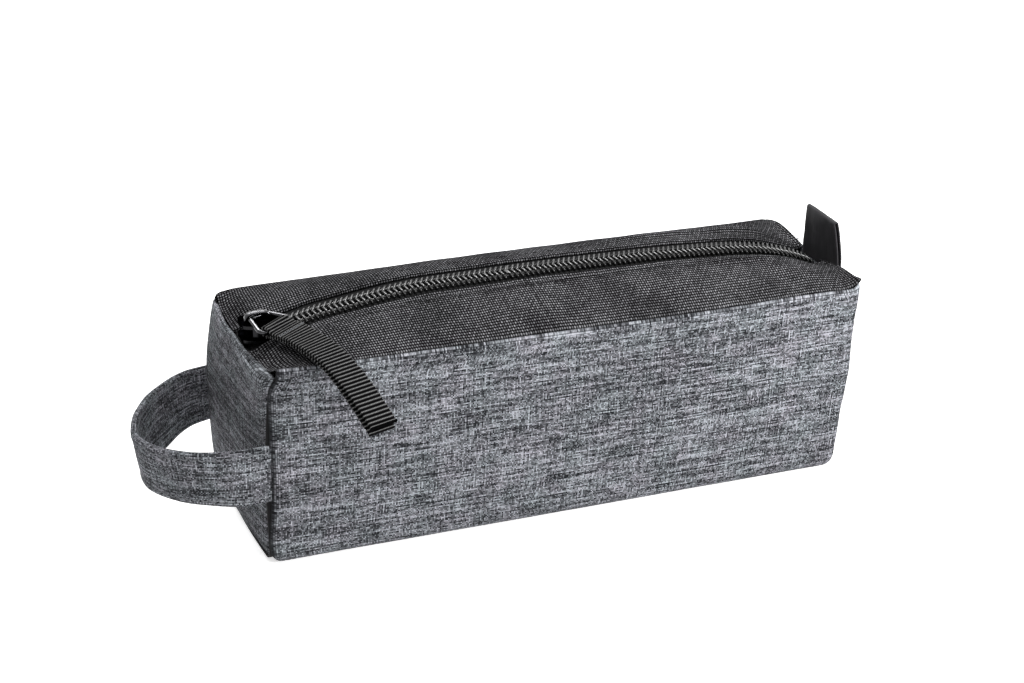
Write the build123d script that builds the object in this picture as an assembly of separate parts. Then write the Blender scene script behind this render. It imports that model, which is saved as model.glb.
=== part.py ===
from build123d import *
import math
import os

# A boxy zipped fabric pouch, in millimetres. The origin is the middle of its base, +X runs from the
# handle end to the ribbon end, -Y is the front and +Z is up.

# Fabric shell
pouch_length = 210.0  # along the top seams, end seam to end seam
pouch_width = 68.0
pouch_height = 70.0
fabric_thickness = 1.0
bottom_fold_radius = 6.0
dome_radius = 400.0  # both ends bulge as parts of a large sphere
left_end_bulge = 4.5  # how far each dome's apex stands out past the top seam
left_apex_height = 25.0
right_end_bulge = 1.5
right_apex_height = 75.0
left_seam_dip = 0.6  # how far the end seam sags between the top corners
right_seam_dip = 2.8
binding_width = 8.0
binding_thickness = 0.8

# Clearances
moving_gap = 0.3  # between pieces that move past each other
sewn_gap = 0.05  # between pieces that are sewn to each other
slope_gap = 0.16  # between pieces that are sewn to each other along the sloping zip

# Zip chain and tapes
zip_slot = 13.6  # between the folded edges of the two top panels
hinge_inset = 0.8  # inner face of the front or back to the line that a top panel folds on
panel_fold_angle = 70.0  # degrees that a top panel folds down into the open pouch
chain_base_drop = 1.8  # the tape's top face lies this far under the top seams at the slider
chain_rise = 5.4  # how far the chain arches up in the middle
rise_start = 10.0  # distances from the left seam where the arch starts and ends rising
rise_end = 66.0
fall_length = 50.0  # the arch falls over this length before the right seam
fall_drop = 9.8
fall_power = 2.6
tape_width = 16.0
tape_thickness = 0.7
tape_middle_gap = 0.8
coil_reach = 4.6  # centre line to the coil's outer edge
coil_head_overlap = 0.65  # how far each tooth reaches past the centre line
coil_height = 2.4
tooth_pitch = 1.88
wire_thickness = 0.75
core_width = 1.2
core_height = 1.0
core_inset = 1.0  # the core cord lies this far in from the coil's outer edge
profile_stations = 41

# Slider
slider_length = 12.4
slider_nose_width = 12.2
slider_tail_width = 11.6
slider_nose_end_width = 8.0
slider_corner_radius = 2.0
slider_shoulder_offset = 1.55  # from the slider's middle to its widest place, towards the nose
slider_end_gap = 0.35  # between the nose and the left end panel
slider_upper_plate = 1.1
slider_lower_plate = 1.2
chain_clearance = 0.35
tape_slot_clearance = 0.4
post_width = 3.0
post_length = 5.6
crown_leg = 1.1
crown_width = 2.0
crown_hole_height = 1.9
crown_strap = 1.0
crown_corner_radius = 1.6
crown_hole_corner = 0.6
crown_offset = 0.8  # how far the crown's middle lies towards the nose

# Pull ring and pull tab
ring_wire = 1.6
ring_width = 13.4  # between wire centres
ring_length = 10.5
ring_corner_radius = 2.2
ring_yaw = 62.0  # degrees that the ring points away from the chain, towards the front
ring_side_shift = 0.9  # how far the ring has slid sideways in the crown
webbing_width = 10.2
webbing_layer = 1.2
webbing_fold_gap = 0.15
tab_heading = 70.0  # degrees that the tab points away from the chain, towards the front
tab_length = 53.0  # seen from above, from the ring's outer bar
tab_crest = 0.9  # how far the tab rises over the ring before it droops
tab_crest_share = 0.22  # share of the tab's length at which it is highest
tab_droop = 16.2  # how far its end hangs below the ring
tab_bends = [(0.5, 0.05), (0.74, 0.41)]  # shares of its length and of its droop on the way down
tab_twists = [0.0, 0.7, 1.0, 1.0, 1.0]  # how far its width has turned from the ring's to its own

# Handle strap and ribbon tab
strap_width = 20.0
strap_thickness = 2.2
strap_reach = 37.5  # left seam to the middle of the strap's outer bend
strap_lean = 5.0  # how far the strap's outer bend leans towards the front
strap_height = 33.4  # base to the strap's middle
strap_stations = 13
ribbon_width = 25.0
ribbon_height = 17.5
ribbon_layer = 0.5
ribbon_fold_gap = 0.9
ribbon_offset = -4.5  # the ribbon's middle lies this far off the chain, towards the front

# Places worked out from the sizes above
half_length = pouch_length / 2
half_width = pouch_width / 2
seam_z = pouch_height
panel_hinge_y = half_width - fabric_thickness - hinge_inset
chain_base_z = seam_z - chain_base_drop
zip_edge = zip_slot / 2
panel_swing = panel_hinge_y - zip_edge
trim_length = 2 * pouch_length  # blocks that the domed ends trim run this long
slider_height_from = chain_base_z - tape_thickness - moving_gap - slider_lower_plate
slider_channel_top = chain_base_z + slope_gap + coil_height + chain_clearance
crown_foot_z = slider_channel_top + slider_upper_plate


def dome_x(side, inset, y, z):
    """X of an end's dome, moved in by inset, at a given place across the pouch."""
    apex_z = left_apex_height if side < 0 else right_apex_height
    bulge = left_end_bulge if side < 0 else right_end_bulge
    radius = dome_radius - inset
    centre = half_length + bulge - dome_radius
    return side * (centre + math.sqrt(radius**2 - y**2 - (z - apex_z) ** 2))


def level_direction(angle):
    """A level direction that many degrees away from +X, towards the front."""
    return Vector(math.cos(math.radians(angle)), -math.sin(math.radians(angle)), 0)


pull_direction = level_direction(ring_yaw)
bar_direction = level_direction(ring_yaw - 90)
tab_direction = level_direction(tab_heading)
tab_across = level_direction(tab_heading - 90)
slider_x = dome_x(-1, fabric_thickness + slider_end_gap, 0, seam_z) + slider_length / 2
crown_x = slider_x - crown_offset
crown_bar_room = (crown_width * bar_direction.X + ring_wire) / bar_direction.Y
crown_hole_length = crown_bar_room + 2 * moving_gap
crown_length = crown_hole_length + 2 * crown_leg
ring_pivot = Vector(crown_x, 0, crown_foot_z + crown_hole_height / 2)
tab_pivot = ring_pivot + pull_direction * ring_length - bar_direction * ring_side_shift
strap_root_x = dome_x(-1, -moving_gap, half_width, strap_height)
strap_pivot_x = strap_root_x - strap_width / 2


def smooth(value):
    """Goes gently from 0 to 1 as value does."""
    share = min(1.0, max(0.0, value))
    return share * share * (3 - 2 * share)


def chain_z(x):
    """Height of the tapes' top face along the zip."""
    from_left = x + half_length
    from_right = half_length - x
    rising = smooth((from_left - rise_start) / (rise_end - rise_start))
    falling = min(1.2, max(0.0, 1 - from_right / fall_length)) ** fall_power
    return chain_base_z + chain_rise * rising - fall_drop * falling


def panel_underside(x, y):
    """Height of a top panel's underside, which slopes from its fold line up to the zip."""
    share = max(0.0, (panel_hinge_y - abs(y)) / panel_swing)
    at_seam = seam_z - fabric_thickness / 2
    at_zip = chain_z(x) + slope_gap
    return at_seam + (at_zip - at_seam) * share


def dome_ball(side, inset):
    """The sphere whose skin is one end of the pouch, moved in by inset."""
    apex_z = left_apex_height if side < 0 else right_apex_height
    bulge = left_end_bulge if side < 0 else right_end_bulge
    centre_x = side * (half_length + bulge - dome_radius)
    return Pos(centre_x, 0, apex_z) * Sphere(dome_radius - inset)


def between_ends(shape, inset):
    """Trims a shape to the space between the two domed ends."""
    return shape & dome_ball(-1, inset) & dome_ball(1, inset)


def upright_u(inset, top, length):
    """A U-shaped block: the pouch's cross-section moved in by inset, run along its length."""
    width = pouch_width - 2 * inset
    height = top - inset
    radius = bottom_fold_radius - inset
    block = Pos(0, 0, inset + height / 2) * Box(length, width, height)
    lower = block.edges().filter_by(Axis.X).sort_by(Axis.Z)[:2]
    return fillet(lower, radius)


def strip_face(y, bottom, thickness):
    """A thin face in an XZ plane whose lower edge follows bottom(x), run past both ends."""
    reach = half_length + left_end_bulge + right_end_bulge
    steps = profile_stations - 1
    stations = [-reach + 2 * reach * i / steps for i in range(profile_stations)]
    lower = [(x, y, bottom(x)) for x in stations]
    upper = [(x, y, bottom(x) + thickness) for x in reversed(stations)]
    edges = [
        Edge.make_spline(lower),
        Edge.make_line(lower[-1], upper[0]),
        Edge.make_spline(upper),
        Edge.make_line(upper[-1], lower[0]),
    ]
    return Face(Wire(edges))


def body_panel():
    """One grey cloth that makes the front, the bottom and the back."""
    edge_z = seam_z - fabric_thickness / 2 - moving_gap
    outer = upright_u(0, edge_z, trim_length)
    inner = upright_u(fabric_thickness, seam_z + fabric_thickness, trim_length)
    return between_ends(outer - inner, 0)


def end_panel(side):
    """A domed grey end, let in between the front, the bottom and the back."""
    dip = left_seam_dip if side < 0 else right_seam_dip
    inner_half = half_width - fabric_thickness - sewn_gap
    block = upright_u(fabric_thickness + sewn_gap, seam_z, trim_length)
    half = Pos(side * half_length, 0, seam_z / 2) * Box(pouch_length, pouch_width, 2 * seam_z)
    shell = dome_ball(side, 0) - dome_ball(side, fabric_thickness)
    sag = Edge.make_three_point_arc(
        (0, -inner_half - 1, seam_z), (0, 0, seam_z - dip), (0, inner_half + 1, seam_z)
    )
    above = Wire(
        [
            sag,
            Edge.make_line((0, inner_half + 1, seam_z), (0, inner_half + 1, 2 * seam_z)),
            Edge.make_line((0, inner_half + 1, 2 * seam_z), (0, -inner_half - 1, 2 * seam_z)),
            Edge.make_line((0, -inner_half - 1, 2 * seam_z), (0, -inner_half - 1, seam_z)),
        ]
    )
    over = extrude(Face(above), pouch_length, dir=(side, 0, 0))
    return (block & half & shell) - over


def end_binding(side):
    """The tape that binds the raw seam inside one end, along its front, bottom and back."""
    outer_inset = fabric_thickness + sewn_gap
    inner_inset = outer_inset + binding_thickness
    top = seam_z - chain_base_drop - binding_width
    outer = upright_u(outer_inset, top, trim_length)
    inner = upright_u(inner_inset, seam_z, trim_length)
    half = Pos(side * pouch_length / 2, 0, seam_z / 2) * Box(pouch_length, pouch_width, 2 * seam_z)
    start = fabric_thickness + sewn_gap
    band = dome_ball(side, start) - dome_ball(side, start + binding_width)
    return (outer - inner) & half & band


def inside_ends(shape, side):
    """Trims what folds into the pouch with a top panel, so it clears both ends all the way down."""
    clear = fabric_thickness + moving_gap
    shape = between_ends(shape, clear)
    hinge = Pos(0, side * panel_hinge_y, seam_z)
    for share in (0.5, 1.0):
        unfold = hinge * Rot(-side * share * panel_fold_angle, 0, 0) * hinge.inverse()
        shape = shape & (unfold * dome_ball(-1, clear)) & (unfold * dome_ball(1, clear))
    return shape


def top_panel(side):
    """A dark top panel, with a lip that lies on the edge of the front or the back."""
    places = [half_width, panel_hinge_y, zip_edge]
    faces = []
    for place in places:
        faces.append(
            strip_face(side * place, lambda x: panel_underside(x, place), fabric_thickness)
        )
    return inside_ends(loft(faces, ruled=True), side)


def zipper_tape(side):
    """Half of the zip's woven tape, sewn under a top panel and notched round the slider's post."""
    outer = tape_middle_gap / 2 + tape_width
    sections = [
        strip_face(side * tape_middle_gap / 2, lambda x: chain_z(x) - tape_thickness, tape_thickness),
        strip_face(side * zip_edge, lambda x: chain_z(x) - tape_thickness, tape_thickness),
        strip_face(
            side * outer,
            lambda x: panel_underside(x, outer) - slope_gap - tape_thickness,
            tape_thickness,
        ),
    ]
    tape = inside_ends(loft(sections, ruled=True), side)
    post_end = slider_x - slider_length / 2 + post_length + moving_gap
    notch_width = post_width + 2 * moving_gap
    notch = Pos(post_end - slider_length, 0, chain_base_z) * Box(
        2 * slider_length, notch_width, 4 * tape_thickness
    )
    return tape - notch


def zipper_coil(side):
    """Half of the chain: flat loops on a core cord, in step with the other half's."""
    start = slider_x - slider_length / 2 + post_length + moving_gap + wire_thickness
    finish = dome_x(1, fabric_thickness + moving_gap, 0, seam_z - panel_swing) - wire_thickness
    first = start + (tooth_pitch / 2 if side > 0 else 0)
    count = int((finish - first) / tooth_pitch)
    loop_length = coil_reach + coil_head_overlap
    loop_y = side * (coil_reach - coil_head_overlap) / 2
    loop = extrude(Plane.YZ * SlotOverall(loop_length, coil_height), wire_thickness / 2, both=True)
    core_y = side * (coil_reach - core_inset - core_width / 2)
    centre_height = slope_gap + coil_height / 2
    core_face = strip_face(
        core_y - core_width / 2,
        lambda x: chain_z(x) + centre_height - core_height / 2,
        core_height,
    )
    core = extrude(core_face, core_width, dir=(0, 1, 0))
    core_length = (count - 1) * tooth_pitch
    core = core & (
        Pos(first + core_length / 2, 0, seam_z) * Box(core_length, pouch_width, pouch_height)
    )
    loops = []
    for i in range(count):
        x = first + i * tooth_pitch
        loops.append(Pos(x, loop_y, chain_z(x) + centre_height) * loop)
    return core.fuse(*loops)


def slider_outline():
    """The slider seen from above: its widest place is behind the nose."""
    half = slider_length / 2
    shoulder = -slider_shoulder_offset
    points = [
        (slider_x + half, slider_tail_width / 2),
        (slider_x + shoulder, slider_nose_width / 2),
        (slider_x - half, slider_nose_end_width / 2),
        (slider_x - half, -slider_nose_end_width / 2),
        (slider_x + shoulder, -slider_nose_width / 2),
        (slider_x + half, -slider_tail_width / 2),
    ]
    outline = make_face(Polyline(*points, close=True))
    return fillet(outline.vertices(), slider_corner_radius)


def slider_body():
    """Two plates joined by a post at the nose, with flanges that guide the chain."""
    outline = slider_outline()
    upper = extrude(Pos(0, 0, slider_channel_top) * outline, slider_upper_plate)
    lower = extrude(Pos(0, 0, slider_height_from) * outline, slider_lower_plate)
    flange_from = chain_base_z + tape_slot_clearance
    flanges = extrude(Pos(0, 0, flange_from) * outline, slider_channel_top - flange_from)
    channel_half = coil_reach + chain_clearance
    spread = post_width / 2
    reach = slider_length
    channel = make_face(
        Polyline(
            (slider_x + reach, channel_half),
            (slider_x, channel_half),
            (slider_x - reach, channel_half + spread),
            (slider_x - reach, -channel_half - spread),
            (slider_x, -channel_half),
            (slider_x + reach, -channel_half),
            close=True,
        )
    )
    flanges -= extrude(Pos(0, 0, flange_from) * channel, slider_channel_top - flange_from)
    nose = slider_x - slider_length / 2
    post = make_face(
        Polyline(
            (nose + post_width / 2, post_width / 2),
            (nose + post_length - post_width, post_width / 2),
            (nose + post_length, 0),
            (nose + post_length - post_width, -post_width / 2),
            (nose + post_width / 2, -post_width / 2),
            close=True,
        )
    )
    post_from = slider_height_from + slider_lower_plate / 2
    post_to = slider_channel_top + slider_upper_plate / 2
    post_solid = extrude(Pos(0, 0, post_from) * post, post_to - post_from)
    return upper + lower + flanges + post_solid


def slider_crown():
    """The arch on the slider that holds the pull ring."""
    height = crown_hole_height + crown_strap
    outer = Pos(crown_x, 0, crown_foot_z + height / 2) * Box(crown_length, crown_width, height)
    outer = fillet(outer.edges().filter_by(Axis.Y).sort_by(Axis.Z)[-2:], crown_corner_radius)
    hole = Pos(crown_x, 0, crown_foot_z + crown_hole_height / 2) * Box(
        crown_hole_length, 2 * crown_width, crown_hole_height
    )
    hole = fillet(hole.edges().filter_by(Axis.Y).sort_by(Axis.Z)[-2:], crown_hole_corner)
    return outer - hole


def pull_ring():
    """A rectangular wire ring that hangs in the crown."""
    middle = (
        ring_pivot + pull_direction * (ring_length / 2) - bar_direction * ring_side_shift
    )
    frame = Plane(origin=middle, x_dir=bar_direction, z_dir=(0, 0, -1))
    outline = frame * RectangleRounded(ring_width, ring_length, ring_corner_radius)
    path = outline.face().outer_wire()
    start = Plane(origin=path @ 0, z_dir=path % 0)
    return sweep(start * Circle(ring_wire / 2), path=path)


def tab_route():
    """Middle line of the pull tab and the way its width points at each place."""
    start = tab_pivot + pull_direction * (ring_wire / 2 + webbing_fold_gap + webbing_layer / 2)
    steps = [(tab_crest_share, tab_crest)]
    for share, droop_share in tab_bends + [(1.0, 1.0)]:
        steps.append((share, -droop_share * tab_droop))
    places = [start]
    for share, height in steps:
        places.append(tab_pivot + tab_direction * (share * tab_length) + Vector(0, 0, height))
    widths = [bar_direction * (1 - twist) + tab_across * twist for twist in tab_twists]
    return places, widths


def pull_tab():
    """Webbing folded round the ring's outer bar, its two layers reaching out over the front."""
    places, widths = tab_route()
    line = Edge.make_spline(places, tangents=[pull_direction, places[-1] - places[-2]])
    thickness = 2 * webbing_layer + sewn_gap
    sections = []
    for place, width in zip(places, widths):
        along = line.tangent_at(line.param_at_point(place))
        flat = (width - along * width.dot(along)).normalized()
        frame = Plane(origin=place, x_dir=flat, z_dir=along)
        sections.append(frame * Rectangle(webbing_width, thickness))
    strip = loft(sections)
    across = Plane(origin=tab_pivot, z_dir=bar_direction)
    bore = ring_wire / 2 + webbing_fold_gap
    sleeve = extrude(across * Circle(bore + webbing_layer), webbing_width / 2, both=True)
    eye = extrude(across * Circle(bore), webbing_width, both=True)
    return (strip + sleeve) - eye


def strap_side(offset):
    """Points of one face of the strap, seen from above, moved out by offset."""
    reach = half_length + strap_reach + strap_root_x - strap_thickness / 2
    across = half_width - strap_thickness / 2
    points = []
    for i in range(strap_stations):
        turn = math.pi * i / (strap_stations - 1) - math.pi / 2
        x = strap_root_x - reach * math.cos(turn)
        y = across * math.sin(turn) - strap_lean * math.cos(turn)
        run_x = reach * math.sin(turn)
        run_y = across * math.cos(turn) + strap_lean * math.sin(turn)
        run = math.hypot(run_x, run_y)
        points.append((x - offset * run_y / run, y + offset * run_x / run))
    return points


def handle_strap():
    """The grey loop at the left end, its ends rounded about the line that it swings on."""
    outer = strap_side(strap_thickness / 2)
    inner = list(reversed(strap_side(-strap_thickness / 2)))
    edges = [
        Edge.make_spline(outer),
        Edge.make_line(outer[-1], inner[0]),
        Edge.make_spline(inner),
        Edge.make_line(inner[-1], outer[0]),
    ]
    face = Pos(0, 0, strap_height) * Face(Wire(edges))
    band = extrude(face, strap_width / 2, both=True)
    reach = strap_reach + strap_width
    beyond = Pos(strap_pivot_x - reach / 2, 0, strap_height) * Box(
        reach, 2 * pouch_width, 2 * strap_width
    )
    ends = Pos(strap_pivot_x, 0, strap_height) * Rot(90, 0, 0) * Cylinder(
        strap_width / 2, 2 * pouch_width
    )
    return band & (beyond + ends)


def end_ribbon():
    """The folded ribbon that stands on the right end seam, rounded where it bends."""
    thickness = 2 * ribbon_layer + ribbon_fold_gap
    pivot_x, pivot_z = ribbon_pivot()
    outer = Pos(pivot_x, ribbon_offset, pivot_z + ribbon_height / 2) * Box(
        thickness, ribbon_width, ribbon_height
    )
    top_edges = outer.edges().filter_by(Axis.Y).sort_by(Axis.Z)[-2:]
    outer = fillet(top_edges, thickness / 2 - sewn_gap)
    gap_height = ribbon_height - thickness
    gap = Pos(pivot_x, ribbon_offset, pivot_z + thickness / 2 + gap_height / 2) * Box(
        ribbon_fold_gap, 2 * ribbon_width, gap_height
    )
    foot = Pos(pivot_x, ribbon_offset, pivot_z) * Rot(90, 0, 0) * Cylinder(
        thickness / 2, ribbon_width
    )
    return (outer - gap) + foot


def ribbon_pivot():
    """X and Z of the line that the ribbon bends on, just over the right end panel."""
    thickness = 2 * ribbon_layer + ribbon_fold_gap
    middle_x = dome_x(1, fabric_thickness / 2, 0, seam_z)
    reach = abs(ribbon_offset) + ribbon_width / 2
    sag_left = right_seam_dip * (1 - (reach / half_width) ** 2)
    return middle_x, seam_z - sag_left + moving_gap + thickness / 2


def save(name, shape):
    export_step(shape, f"parts/{name}.step")


def main():
    os.makedirs("parts", exist_ok=True)
    save("body_panel", body_panel())
    for side, end in ((-1, "left"), (1, "right")):
        save(f"{end}_end_panel", end_panel(side))
        save(f"{end}_seam_binding", end_binding(side))
    for side, face in ((-1, "front"), (1, "back")):
        save(f"{face}_top_panel", top_panel(side))
        save(f"{face}_zipper_tape", zipper_tape(side))
        save(f"{face}_zipper_coil", zipper_coil(side))
    save("slider_body", slider_body())
    save("slider_crown", slider_crown())
    save("pull_ring", pull_ring())
    save("pull_tab", pull_tab())
    save("handle_strap", handle_strap())
    save("end_ribbon", end_ribbon())
    ribbon_x, ribbon_z = ribbon_pivot()
    print("slider middle x", round(slider_x, 2))
    print("ring pivot", [round(v, 3) for v in ring_pivot], "bar", [round(v, 4) for v in bar_direction])
    print("tab pivot", [round(v, 3) for v in tab_pivot])
    print("strap pivot x", round(strap_pivot_x, 3), "z", strap_height)
    print("ribbon pivot", round(ribbon_x, 3), round(ribbon_z, 3))
    print("top panel hinges y", panel_hinge_y, "z", seam_z)


main()
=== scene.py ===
import math

import bmesh
import bpy
from mathutils import Matrix, Vector, noise


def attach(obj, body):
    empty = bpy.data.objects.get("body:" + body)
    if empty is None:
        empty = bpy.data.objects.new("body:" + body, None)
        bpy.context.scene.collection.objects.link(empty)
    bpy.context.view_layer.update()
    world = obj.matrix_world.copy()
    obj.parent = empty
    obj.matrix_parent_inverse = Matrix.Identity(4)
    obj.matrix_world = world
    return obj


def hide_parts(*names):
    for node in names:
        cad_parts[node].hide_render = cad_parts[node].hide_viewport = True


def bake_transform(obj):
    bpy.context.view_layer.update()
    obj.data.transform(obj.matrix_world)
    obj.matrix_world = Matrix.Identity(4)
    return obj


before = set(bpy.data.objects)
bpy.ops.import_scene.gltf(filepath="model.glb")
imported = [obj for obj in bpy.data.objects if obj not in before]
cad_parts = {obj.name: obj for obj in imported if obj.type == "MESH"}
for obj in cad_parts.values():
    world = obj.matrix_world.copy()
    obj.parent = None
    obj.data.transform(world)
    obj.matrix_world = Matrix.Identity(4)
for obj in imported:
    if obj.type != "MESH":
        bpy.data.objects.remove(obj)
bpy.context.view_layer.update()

bl_info = {
    "name": "Zipped Pouch",
    "version": (1, 0, 0),
    "blender": (4, 5, 0),
    "location": "View3D > Sidebar > Pouch",
    "description": "Makes the cloth, zip, pull, strap and stage of a zipped fabric pouch",
    "category": "Object",
}

# Lengths are in metres, and MM turns a number of millimetres into one. +X runs along the zip from the
# strap's end to the ribbon's end, -Y is the front and +Z is up.
MM = 0.001
FRONT, BACK = -1, 1
LEFT, RIGHT = -1, 1
SIDES = ((FRONT, "front"), (BACK, "back"))


def length_field(name, description, default):
    return bpy.props.FloatProperty(name=name, description=description, default=default, unit="LENGTH")


def angle_field(name, description, degrees):
    return bpy.props.FloatProperty(
        name=name, description=description, default=math.radians(degrees), subtype="ANGLE"
    )


def number_field(name, description, default):
    return bpy.props.FloatProperty(name=name, description=description, default=default)


def colour_field(name, description, *default):
    return bpy.props.FloatVectorProperty(
        name=name, description=description, default=default, subtype="COLOR", size=3, min=0, max=1
    )


class PouchSizes(bpy.types.PropertyGroup):
    """Sizes of the sewn bag"""

    length: length_field("Length", "End seam to end seam along the top", 0.210)
    width: length_field("Width", "Front to back", 0.068)
    height: length_field("Height", "Base to the long top seams", 0.070)
    cloth: length_field("Body cloth", "Thickness of the grey cloth", 0.0009)
    top_cloth: length_field("Top cloth", "Thickness of the black cloth", 0.0005)
    fold_radius: length_field("Bottom fold", "Radius of the folds along the base", 0.006)
    end_lip: length_field("End seam lip", "Radius at which cloth turns into an end seam", 0.0018)
    top_lip: length_field("Top seam lip", "Radius at which cloth turns into a top seam", 0.0008)
    mesh_step: length_field("Mesh step", "Distance between the cloth's vertices", 0.0016)


class ZipSizes(bpy.types.PropertyGroup):
    """Sizes of the zip"""

    slot: length_field("Slot", "Between the folded edges of the top panels", 0.0130)
    tape_width: length_field("Tape width", "Width of half the tape", 0.016)
    pitch: length_field("Coil pitch", "Between neighbouring turns of a half", 0.00188)
    wire: length_field("Coil wire", "Diameter of the coil's filament", 0.00086)
    coil_reach: length_field("Coil reach", "Middle to a half's outer edge", 0.0046)
    coil_overlap: length_field("Coil overlap", "How far the heads pass the middle", 0.00065)
    coil_height: length_field("Coil height", "Height of the coil", 0.0024)
    open_from: length_field("Opening starts", "Left of this place the zip stays on the bag", -0.105)
    open_full: length_field("Opening full", "Right of this place the panels fold fully", -0.073)
    close_from: length_field("Closing starts", "Right of this place the panels come back", 0.040)
    close_full: length_field("Closed", "Right of this place the zip stays closed", 0.0645)


class PullSizes(bpy.types.PropertyGroup):
    """Sizes of the webbing pull, the strap and their stitches"""

    webbing_width: length_field("Webbing width", "Width of the pull", 0.0102)
    rib_pitch: length_field("Rib pitch", "Between neighbouring ribs of the webbing", 0.00142)
    rib_depth: length_field("Rib depth", "How far the ribs stand out", 0.00034)
    strap_width: length_field("Strap width", "Width of the strap loop", 0.020)
    strap_thickness: length_field("Strap thickness", "Folded cloth of the strap", 0.0022)
    stitch_length: length_field("Stitch length", "Length of one stitch with its gap", 0.0028)
    thread: length_field("Thread", "Diameter of the sewing thread", 0.00034)


class PouchColours(bpy.types.PropertyGroup):
    """Colours of the finishes, before the lights"""

    melange_dark: colour_field("Melange dark", "Darkest yarn of the grey cloth", 0.008, 0.0085, 0.010)
    melange_light: colour_field("Melange light", "Lightest yarn of the grey cloth", 0.41, 0.42, 0.45)
    # The black cloth's gap colour is its own black deepened by painted shade between its yarns; its crown
    # colour is painted sheen.
    top_gap_shade: colour_field("Top gap shade", "Gaps of the black cloth", 0.001, 0.001, 0.0012)
    top_sheen: colour_field("Top sheen", "Crowns of the black cloth's yarns", 0.30, 0.298, 0.314)
    black: colour_field("Black", "Zip tapes", 0.012, 0.012, 0.0125)
    metal: colour_field("Black nickel", "Slider and ring", 0.032, 0.032, 0.034)


class StageSettings(bpy.types.PropertyGroup):
    """Camera and light"""

    azimuth: angle_field("Azimuth", "Camera's turn to the left of the front", -21.9)
    elevation: angle_field("Elevation", "Camera's height angle", 23.91)
    roll: angle_field("Roll", "Camera's roll", -1.0)
    place: bpy.props.FloatVectorProperty(
        name="Camera place", description="Where the camera stands", subtype="XYZ_LENGTH", size=3,
        default=(-0.2445, -0.5812, 0.3290), unit="LENGTH"
    )
    lens: number_field("Lens", "Focal length in millimetres on a 36 mm sensor", 70.3)
    surround: number_field("Surround light", "Strength of the white room", 0.33)


# Shape of the bag


def mm(*values):
    """Millimetres as metres."""
    scaled = [value * MM for value in values]
    return scaled[0] if len(scaled) == 1 else scaled


def mm3(x, y, z):
    """A point given in millimetres."""
    return (x * MM, y * MM, z * MM)


def clamp(value, low=0.0, high=1.0):
    return max(low, min(high, value))


def smooth(value):
    share = clamp(value)
    return share * share * (3 - 2 * share)


def ease(place, start, reach):
    """0 up to start, then a soft climb to 1 over reach, both in millimetres."""
    return smooth((place - mm(start)) / mm(reach))


def between(low, high, share):
    return low + (high - low) * share


def even(low, high, count):
    """Places from low to high, count even steps apart."""
    return [low + (high - low) * i / count for i in range(count + 1)]


def hill(value, middle, spread):
    """A smooth hill of height 1."""
    return math.exp(-(((value - middle) / spread) ** 2))


def drift(x, y, seed, scale):
    """Smooth noise from about -1 to 1 that changes over about scale metres."""
    return noise.noise(Vector((x / scale, y / scale, seed)))


def through(points, place):
    """Smooth line through a few (place, value) pairs."""
    if place <= points[0][0]:
        return points[0][1]
    if place >= points[-1][0]:
        return points[-1][1]
    at = max(i for i in range(len(points) - 1) if points[i][0] <= place)
    (x0, y0), (x1, y1) = points[at], points[at + 1]
    slopes = []
    for i in (at, at + 1):
        before, after = points[max(i - 1, 0)], points[min(i + 1, len(points) - 1)]
        slopes.append((after[1] - before[1]) / (after[0] - before[0]))
    span = x1 - x0
    t = (place - x0) / span
    a = y0 * (2 * t**3 - 3 * t**2 + 1) + slopes[0] * span * (t**3 - 2 * t**2 + t)
    return a + y1 * (3 * t**2 - 2 * t**3) + slopes[1] * span * (t**3 - t**2)


def table_row(table, share):
    """The values that a table's rows give after their share, at a share between them."""
    return [through([(row[0], row[i]) for row in table], share) for i in range(1, len(table[0]))]


# How far each upright edge stands from the middle, by height, both in millimetres
EDGES = {
    (LEFT, FRONT): [(0, -104.4), (3, -106.4), (8, -107.2), (20, -106.4), (42, -106.2), (58, -106.2),
                    (63, -106.2), (66, -105.3), (68, -104.5), (70, -104.2)],
    (LEFT, BACK): [(0, -105.5), (4, -108.3), (12, -109.3), (30, -110.2), (42, -110.3), (54, -109.3),
                   (70, -106.6)],
    (RIGHT, FRONT): [(0, 99.8), (4, 100.4), (11, 100.8), (26, 102.3), (41, 103.5), (57, 104.4),
                     (70, 105.2)],
    (RIGHT, BACK): [(0, 98.6), (5, 99.8), (26, 102.2), (45, 103.6), (60, 104.6), (70, 104.6)],
}
END_BULGE = mm(1.5)  # an end stands out this far between its upright edges
LEFT_CURL = mm(0.4)  # the left end leans in over the top this far
LEFT_CURL_FROM = mm(61.0)
# Heights of the long top seams along the bag, in millimetres
SEAM_TOPS = {
    FRONT: [(-104.6, 69.6), (-90, 69.0), (-60, 68.7), (0, 68.5), (38, 68.3), (62, 68.5), (75, 68.9),
            (94, 68.8), (100, 68.6), (103.4, 69.7), (104.9, 72.2)],
    BACK: [(-107, 68.6), (-97, 69.8), (-40, 70.0), (50, 70.2), (96, 70.1), (104.6, 70.1)],
}
# Heights of the end cloths' top edges from front to back, in millimetres
END_TOPS = {
    LEFT: [(-34, 66.6), (-27, 66.0), (-18, 65.0), (-7, 65.4), (3, 66.3), (15, 66.1), (26, 66.5),
           (34, 67.6)],
    RIGHT: [(-34, 72.0), (-31.5, 71.0), (-29, 70.7), (-19, 70.5), (-11, 69.3), (-3, 67.9), (3, 67.4),
            (7, 67.7), (13, 69.3), (20, 70.9), (26, 71.5), (31, 70.7), (34, 69.8)],
}
CHAIN_BASE = mm(68.2)  # height of the tape at the slider
CHAIN_RISE = mm(5.4)
CHAIN_LIFT, MIDDLE_LIFT = mm(1.7, 0.5)  # how far the cloth chain arches over the CAD's
RISE_FROM, RISE_TO = mm(10.0, 66.0)  # from the left seam
FALL_LENGTH = mm(50.0)
FALL_DROP = mm(9.8)
FALL_POWER = 2.6
COIL_SEAT = mm(0.16)  # between the tape and the coil
LIP_TURN = math.radians(74)  # how far cloth turns into a seam
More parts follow.
